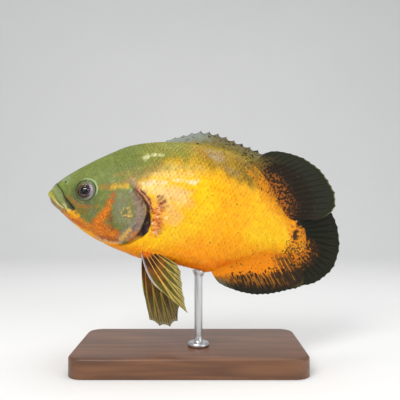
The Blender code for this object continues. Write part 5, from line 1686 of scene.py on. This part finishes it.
def fins() -> list[Fin]:
    """All fins of the fish."""
    return [
        SpinyDorsal("Dorsal_fin_spiny", "dorsal_fin_spiny", 13, 34, 0.15, 0.42, base=(75.8, 149.2), edge="back",
                    splits=(2.0, 3.0), clear=True, tips=(
                        (80.4, 57.4), (85.6, 60.4), (91.0, 63.2), (99.5, 67.6), (105, 69.6), (110, 70.3),
                        (118.4, 69.8), (126.5, 68.0), (141.1, 65.2), (159.6, 62.0))),
        SoftDorsal("Dorsal_fin_soft", "dorsal_fin_soft", 20, 60, ridge=0.15, base=(147.8, 187.4), edge="back",
                   bow=(1.5, 0.0, 1.0), sway=9.0, tips=(
                       (158.8, 62.0), (164, 65.0), (172, 67.0), (181, 67.4), (190.8, 66.5), (201, 63.7),
                       (210.2, 59.6), (218, 53.9), (224.8, 47.2), (229, 40.5), (229.6, 34.5), (227.2, 29.0),
                       (221, 23.5), (212.5, 18.8))),
        AnalFin("Anal_fin", "anal_fin", 18, 50, base=(128.4, 189.5), edge="belly", bow=(-1.0, 0.0, -1.2), dashes=(4.2, 4.4),
                sway=9.0, tips=(
                    (137, -44.4), (144, -46.8), (152, -48.0), (159, -48.7), (166, -48.9), (175.7, -47.4),
                    (183, -45.4), (190.6, -42.6), (198, -39.6), (205.4, -36.4), (207.0, -33.6), (205.6, -28.6))),
        TailFin("Caudal_fin", "caudal_fin", 16, 66, ridge=0.15, flesh=2.6, flesh_reach=7.0, dashes=(2.5, 17.0), tips=(
            (220, 33.0), (226.5, 31.6), (232, 29.8), (238.4, 25.4), (243.4, 18.6), (246.6, 10), (247.6, 1),
            (246.2, -8), (242.6, -15.8), (236.4, -22.6), (228, -28.6), (218.5, -33), (208.6, -35.4))),
        PelvicFin("Pelvic_fin_left", "pelvic_fin_left", 6, 60, 0.03, 0.26, sunk=2.6, per_ray=30, clear=True, tips=(
            (92.8, -14.0, -55.4), (115.4, -16.5, -69.2), (111.9, -15.8, -59.6), (109.0, -15.0, -49.6),
            (106.6, -13.6, -41.2), (103.4, -12.0, -35.8))),
        PelvicFin("Pelvic_fin_right", "pelvic_fin_right", 6, 60, 0.03, 0.26, sunk=2.6, per_ray=30, clear=True,
                  side=1, tips=(
                      (83.6, 13.0, -64.0), (89.6, 15.5, -79.6), (98.4, 16.5, -83.4), (106.5, 16.5, -82.4),
                      (111.6, 15.5, -77.0), (111.4, 13.5, -66.0))),
        *(PectoralFin(f"Pectoral_fin_{word}", f"pectoral_fin_{word}", 13, 40, side=side, flesh=0.2, clear=True,
                      base=((82.0, 2.8), (85.6, -14.2)), ripple=0.3, tips=(
                          (112, 8.0), (121, 5.4), (127.5, 0.6), (130.4, -5), (130, -11), (127, -16.6),
                          (121.6, -21.2), (114.5, -24.2), (106.5, -25.4), (99, -24.8)))
          for side, word in ((-1, "left"), (1, "right"))),
    ]


@dataclass(frozen=True)
class Eye:
    """Eye with a painted iris, a dark lens that stands in it and a clear cornea.

    Args:
        side: -1 for the left, 1 for the right.
        iris: Profile from the middle outwards and round the back, as radius and height above the skin.
        pupil: Radius of the pupil.
        offset: Where the pupil lies from the eye's middle, towards the tail and up.
        sides: Points round the eye.
    """

    side: int
    iris: Table = (
        (0.0, 0.2), (2.6, 0.3), (3.4, 0.62), (4.0, 0.72), (4.8, 0.62), (5.6, 0.42), (6.4, 0.24), (7.2, -0.05),
        (7.9, -0.35), (8.5, -0.9), (8.9, -1.9), (8.5, -3.4), (6.8, -4.8), (3.6, -5.6), (0.0, -5.8),
    )
    pupil: float = 3.3
    offset: tuple[float, float] = (-0.8, -0.2)
    sides: int = 120

    def turned(self, profile: Table, rounds: int, centre: tuple[float, float] = (0.0, 0.0),
               steps: int = 90) -> tuple[Array, Array]:
        """Profile spun round the direction in which the eye looks.

        Returns:
            The points on the straight fish and their places across the eye.
        """
        line = spaced(softened(profile, rounds), steps)
        middle, look = HEAD.eye_frame()
        rear = np.cross(look, np.cross((1.0, 0.0, 0.0), look))
        rear /= np.linalg.norm(rear)
        up = np.cross(rear, look)
        up *= np.sign(up[2])
        turn = np.linspace(0, 2 * pi, self.sides + 1)
        a = centre[0] + line[:, :1] * np.cos(turn)
        b = centre[1] + line[:, :1] * np.sin(turn)
        points = middle + a[..., None] * rear + b[..., None] * up + line[:, 1:, None] * look
        return points * (1, self.side, 1), np.stack([a, b, a * 0], axis=-1)

    def paint(self, spots: Array) -> Array:
        """Colours of the iris by place across it, with a painted green reflection over the upper outer ring and a
        painted highlight on its upper rear rim.
        """
        a, b = spots[:, 0] - self.offset[0], spots[:, 1] - self.offset[1]
        radius = np.hypot(a, b) + 0.18 * Noise(51).at(spots, 1.3)
        outer = np.hypot(spots[:, 0], spots[:, 1]) + 0.1 * Noise(52).at(spots, 1.0)
        turn = np.degrees(np.arctan2(b, a))

        def facing(middle: float, spread: float) -> Array:
            return hump((turn - middle + 180) % 360 - 180, spread)

        tint = np.broadcast_to(srgb(8, 8, 10), (len(spots), 3)).copy()
        blend(tint, srgb(44, 26, 20), smooth(3.2, 3.6, radius))
        blend(tint, srgb(104, 74, 40), 0.6 * hump(radius - 4.2, 0.2) * (1 - facing(30, 60)))
        blend(tint, srgb(36, 22, 14), smooth(4.4, 4.8, radius))
        blend(tint, srgb(134, 128, 60), 0.9 * hump(radius - 5.0, 0.25) * facing(108, 34))
        blend(tint, srgb(64, 78, 30), smooth(5.4, 5.9, radius))
        blend(tint, srgb(86, 86, 70), smooth(5.5, 6.2, radius) * facing(-90, 62))
        blend(tint, srgb(96, 84, 60), 0.5 * smooth(5.6, 6.2, radius) * facing(180, 50))
        blend(tint, srgb(150, 130, 156), hump(radius - 5.5, 0.8) * facing(22, 40))
        blend(tint, srgb(108, 104, 140), 0.8 * hump(radius - 5.2, 0.6) * facing(-8, 26))
        blend(tint, srgb(128, 122, 118), 0.7 * hump(radius - 6.8, 0.9) * facing(-35, 40))
        # Painted reflection: a dark olive crescent over the upper outer ring.
        blend(tint, srgb(58, 62, 28), 0.7 * hump(outer - 7.6, 0.6) * (1 - 0.7 * facing(-90, 60)))
        # Painted highlight: pale rim on the upper rear side.
        blend(tint, srgb(186, 208, 160), hump(outer - 8.45, 0.5) * facing(58, 46))
        blend(tint, srgb(196, 186, 112), hump(outer - 8.2, 0.5) * facing(-6, 9))
        blend(tint, srgb(94, 104, 92), 0.8 * hump(outer - 8.4, 0.6) * facing(-80, 60))
        return tint

    def build(self) -> None:
        """Makes and dresses iris, lens and cornea."""
        word = "left" if self.side < 0 else "right"
        points, spots = self.turned(self.iris, 2)
        iris = grid(f"Eye_{word}", POSE.place(points), {
            TINT: coloured(self.paint(spots.reshape(-1, 3))), "spot": spots.reshape(-1, 3),
        })
        finished(iris, self.iris_finish(), "eye", f"eye_{word}")
        bulge = ((0, 1.55), (1.1, 1.48), (2.1, 1.2), (2.9, 0.7), (3.25, 0.1), (2.9, -0.6), (1.5, -1.2), (0, -1.4))
        points, _ = self.turned(bulge, 2, self.offset, 40)
        finished(grid(f"Lens_{word}", POSE.place(points)), self.lens_finish(), "eye")
        dome = ((0, 2.3), (2.0, 2.16), (4.2, 1.72), (6.3, 0.85), (7.7, -0.25), (8.4, -1.0), (8.25, -1.1), (7.55, -0.4),
                (6.2, 0.7), (4.15, 1.57), (2.0, 2.01), (0, 2.15))
        points, _ = self.turned(dome, 1, steps=70)
        cornea = grid(f"Cornea_{word}", POSE.place(points))
        cornea.visible_shadow = False
        finished(cornea, self.cornea_finish(), "eye")

    def iris_finish(self) -> bpy.types.Material:
        """Painted iris with fine fibres that run outwards."""
        g = Graph(f"Iris_{self.side + 1}", roughness=0.45, coat_weight=0.1, coat_roughness=0.1, specular_ior_level=0.2)
        spot = g.attribute("spot")
        a, b, _ = g.parts(spot)
        turn = g.math("ARCTAN2", b, a)
        radius = g.math("SQRT", a * a + b * b)
        polar = g.node("ShaderNodeCombineXYZ", {}, {0: g.math("SINE", turn) * 9.0, 1: g.math("COSINE", turn) * 9.0,
                                                    2: radius * 0.5})
        fibre = g.noise(Wire(g, polar.outputs[0]), 1.2, 3.0, 0.6)
        tint = g.attribute(TINT, "Color")
        tint = g.mix(fibre.step(0.35, 0.7) * 0.35, tint, g.mix(1.0, tint, (0.5, 0.48, 0.45), "MULTIPLY"))
        tint = g.mix(g.noise(spot, 2.5, 3.0).step(0.55, 0.75) * 0.25, tint, g.mix(0.4, tint, srgb(200, 180, 150)))
        g.set("Base Color", tint)
        g.relief((fibre, 0.3, 0.00006))
        return g.material

    def lens_finish(self) -> bpy.types.Material:
        """Black, glossy lens."""
        g = Graph(f"Lens_{self.side + 1}", roughness=0.12, specular_ior_level=0.3)
        g.set("Base Color", g.mix(g.noise(g.place(), 900.0) * 0.5, srgb(10, 10, 12), srgb(24, 22, 26)))
        return g.material

    def cornea_finish(self) -> bpy.types.Material:
        """Clear wet cornea."""
        g = Graph(f"Cornea_{self.side + 1}", roughness=0.03, ior=1.12, transmission_weight=1.0)
        g.set("Base Color", g.mix(g.noise(g.place(), 300.0) * 0.2, (1.0, 1.0, 1.0), (0.93, 0.96, 0.96)))
        return g.material


@dataclass(frozen=True)
class Stand:
    """Wooden base with a brushed steel rod.

    Args:
        corner: Radius of the base's corners.
        edge: Radius of its upper edge.
        rod: Profile of the rod: radius, height above the base or below the belly, and whether it leans.
        rod_x: Where the rod meets the belly, from the snout.
    """

    corner: float = 0.012
    edge: float = 0.002
    rod_x: float = 120.0
    sides: int = 72

    def build(self) -> None:
        """Makes base and rod."""
        low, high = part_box("stand_base")
        bpy.ops.object.select_all(action="DESELECT")
        bpy.ops.mesh.primitive_cube_add(size=1.0, location=(low + high) / 2, scale=high - low)
        base = bpy.context.object
        base.name = base.data.name = "Wooden_base"
        bpy.ops.object.transform_apply(location=True, rotation=True, scale=True)
        for offset, segments, upright in ((self.corner, 10, True), (self.edge, 5, False)):
            bevel = base.modifiers.new("Bevel", "BEVEL")
            bevel.width, bevel.segments, bevel.limit_method = offset, segments, "WEIGHT"
            weights = base.data.attributes.get("bevel_weight_edge")
            if weights is None:
                weights = base.data.attributes.new("bevel_weight_edge", "FLOAT", "EDGE")
            for edge in base.data.edges:
                ends = [base.data.vertices[i].co.z for i in edge.vertices]
                tall = abs(ends[0] - ends[1]) > 0.005
                top = min(ends) > high.z - 1e-5
                weights.data[edge.index].value = float(tall if upright else top)
            bpy.ops.object.modifier_apply(modifier=bevel.name)
        bpy.ops.object.shade_smooth_by_angle(angle=radians(35))
        finished(base, self.wood(), "stand_base", "stand_base")
        self.rod()

    def rod(self) -> None:
        """Turned rod with a foot, a ring and a cup that lies along the belly."""
        x, bottom = np.array([self.rod_x]), np.array([pi])
        belly = POSE.place(BODY.skin(x, bottom))[0]
        away = POSE.place(BODY.skin(x, bottom) + BODY.normal(x, bottom))[0] - belly
        tilt = -away[:2] / away[2]
        foot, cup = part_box("stand_base")[1].z + 0.0002, belly[2] - 0.0004
        profile = (
            (0, foot, 0), (7.6, foot, 0), (8.0, foot + 0.0005, 0), (8.0, foot + 0.0019, 0), (7.2, foot + 0.0029, 0),
            (3.6, foot + 0.0032, 0), (3.0, foot + 0.0042, 0), (3.0, cup - 0.0062, 0.6), (3.1, cup - 0.0044, 1),
            (4.3, cup - 0.0016, 1), (4.5, cup - 0.0009, 1), (4.45, cup - 0.0002, 1), (4.1, cup, 1), (0, cup, 1),
        )
        turn = np.linspace(0, 2 * pi, self.sides + 1)
        rings = []
        for radius, height, share in spaced_profile(profile):
            reach = MM * radius * np.stack([np.cos(turn), np.sin(turn)], axis=1)
            rings.append(np.column_stack([belly[:2] + reach, height + share * (reach @ tilt)]))
        rod = grid("Steel_rod", np.array(rings))
        bpy.ops.object.shade_smooth_by_angle(angle=radians(40))
        finished(rod, self.steel(), "stand_rod", "stand_rod")

    def wood(self) -> bpy.types.Material:
        """Oiled walnut."""
        g = Graph("Walnut", coat_roughness=0.3)
        place = g.place()
        bend = g.noise(g.stretched(place, (6.0, 30.0, 60.0)), 1.0, 2.0)
        grain = g.noise(g.stretched(place, (9.0, 150.0, 220.0)), 1.0, 5.0, 0.65)
        pores = g.noise(g.stretched(place, (160.0, 3200.0, 3200.0)), 1.0, 2.0)
        _, across, _ = g.parts(place)
        rings = g.math("SINE", (across * 90.0 + bend * 9.0) * 3.0) * 0.5 + 0.5
        colour = g.mix(rings * 0.6, srgb(120, 78, 48), srgb(84, 50, 30))
        colour = g.mix(grain.step(0.4, 0.7) * 0.5, colour, srgb(62, 36, 22))
        colour = g.mix(pores.step(0.6, 0.8) * 0.4, colour, srgb(44, 26, 17))
        g.set("Base Color", colour)
        g.set("Roughness", 0.42 + grain * 0.15)
        g.set("Coat Weight", 0.25 + grain * 0.1)
        g.relief((pores, 0.25, 0.00008), (grain, 0.2, 0.0001))
        return g.material

    def steel(self) -> bpy.types.Material:
        """Brushed steel."""
        g = Graph("Brushed_steel", metallic=1.0)
        brush = g.noise(g.stretched(g.place(), (900.0, 900.0, 60.0)), 1.0, 3.0)
        g.set("Base Color", g.mix(brush, (0.5, 0.5, 0.51), (0.66, 0.66, 0.67)))
        g.set("Roughness", 0.26 + brush * 0.12)
        g.relief((brush, 0.1, 0.00003))
        return g.material


def spaced_profile(profile: Table) -> Array:
    """Profile with a few points added on its long runs."""
    rows = []
    for one, two in zip(profile, profile[1:]):
        steps = 12 if abs(two[1] - one[1]) > 0.01 else 2
        rows += [np.array(one) + (np.array(two) - one) * step / steps for step in range(steps)]
    return np.array([*rows, profile[-1]])


@dataclass(frozen=True)
class Lamp:
    """A soft square lamp.

    Args:
        name: What it does.
        place: Where it stands, from the middle of the model.
        size: Its side.
        power: Its power in watts.
        colour: Its colour.
    """

    name: str
    place: tuple[float, float, float]
    size: float
    power: float
    colour: Colour = (1.0, 1.0, 1.0)

    def light(self, middle: Vector) -> None:
        """Hangs the lamp and aims it at the model."""
        data = bpy.data.lights.new(self.name, "AREA")
        data.size, data.energy, data.color = self.size, self.power, self.colour
        lamp = bpy.data.objects.new(self.name, data)
        lamp.location = middle + Vector(self.place)
        lamp.rotation_euler = (-Vector(self.place)).to_track_quat("-Z", "Y").to_euler()
        bpy.context.collection.objects.link(lamp)


@dataclass(frozen=True)
class Studio:
    """Pale floor and backdrop, soft lamps and the camera.

    Args:
        camera: The camera's place from the base's middle on the floor.
        lens: Its focal length in millimetres.
    """

    camera: tuple[float, float, float] = (0.0078, -0.426, 0.123)
    lens: float = 50.0
    lamps: tuple[Lamp, ...] = (
        Lamp("Key", (-0.35, -0.62, 0.66), 0.5, 5.4, (1.0, 0.98, 0.94)),
        Lamp("Top", (0.1, 0.1, 0.8), 0.7, 3.6),
        Lamp("Fill", (0.7, -0.55, 0.15), 0.7, 2.2, (0.97, 0.99, 1.0)),
    )

    def build(self) -> None:
        """Sets up the room."""
        low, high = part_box("stand_base")
        middle = (low + high) / 2
        middle.z = 0.0
        run = [(-1.6, 0.0), (0.75, 0.0)]
        run += [(0.75 + 0.5 * sin(t), 0.5 - 0.5 * cos(t)) for t in np.linspace(0.1, pi / 2, 16)]
        run += [(1.25, 2.4)]
        rows = np.array([[(side, y, z) for side in np.linspace(-3, 3, 9)] for y, z in run])
        floor = grid("Floor", rows + np.array([middle.x, middle.y, -0.0003]))
        floor.data.materials.append(self.paper())
        centre = middle + Vector((0, 0, 0.11))
        for lamp in self.lamps:
            lamp.light(centre)
        world = bpy.data.worlds.new("Studio")
        world.use_nodes = True
        background = world.node_tree.nodes["Background"]
        background.inputs["Color"].default_value = (0.95, 0.97, 1.0, 1.0)
        background.inputs["Strength"].default_value = 0.55
        bpy.context.scene.world = world
        data = bpy.data.cameras.new("Camera")
        data.lens, data.sensor_width = self.lens, 36.0
        camera = bpy.data.objects.new("Camera", data)
        camera.location = middle + Vector(self.camera)
        camera.rotation_euler = (pi / 2, 0.0, 0.0)
        bpy.context.collection.objects.link(camera)
        bpy.context.scene.camera = camera
        bpy.context.scene.view_settings.view_transform = "Standard"

    def paper(self) -> bpy.types.Material:
        """Pale matt paper."""
        g = Graph("Paper", roughness=0.9)
        g.set("Base Color", g.mix(g.noise(g.place(), 6.0, 3.0), (0.78, 0.78, 0.77), (0.82, 0.82, 0.81)))
        return g.material


def main() -> None:
    """Builds the fish, its stand and the room."""
    logging.basicConfig(level=logging.INFO, format="%(message)s")
    Skin().build()
    SCALES.build()
    for fin in fins():
        fin.build()
    for side in (-1, 1):
        Eye(side).build()
    Stand().build()
    Studio().build()


if __name__ == "__main__":
    main()
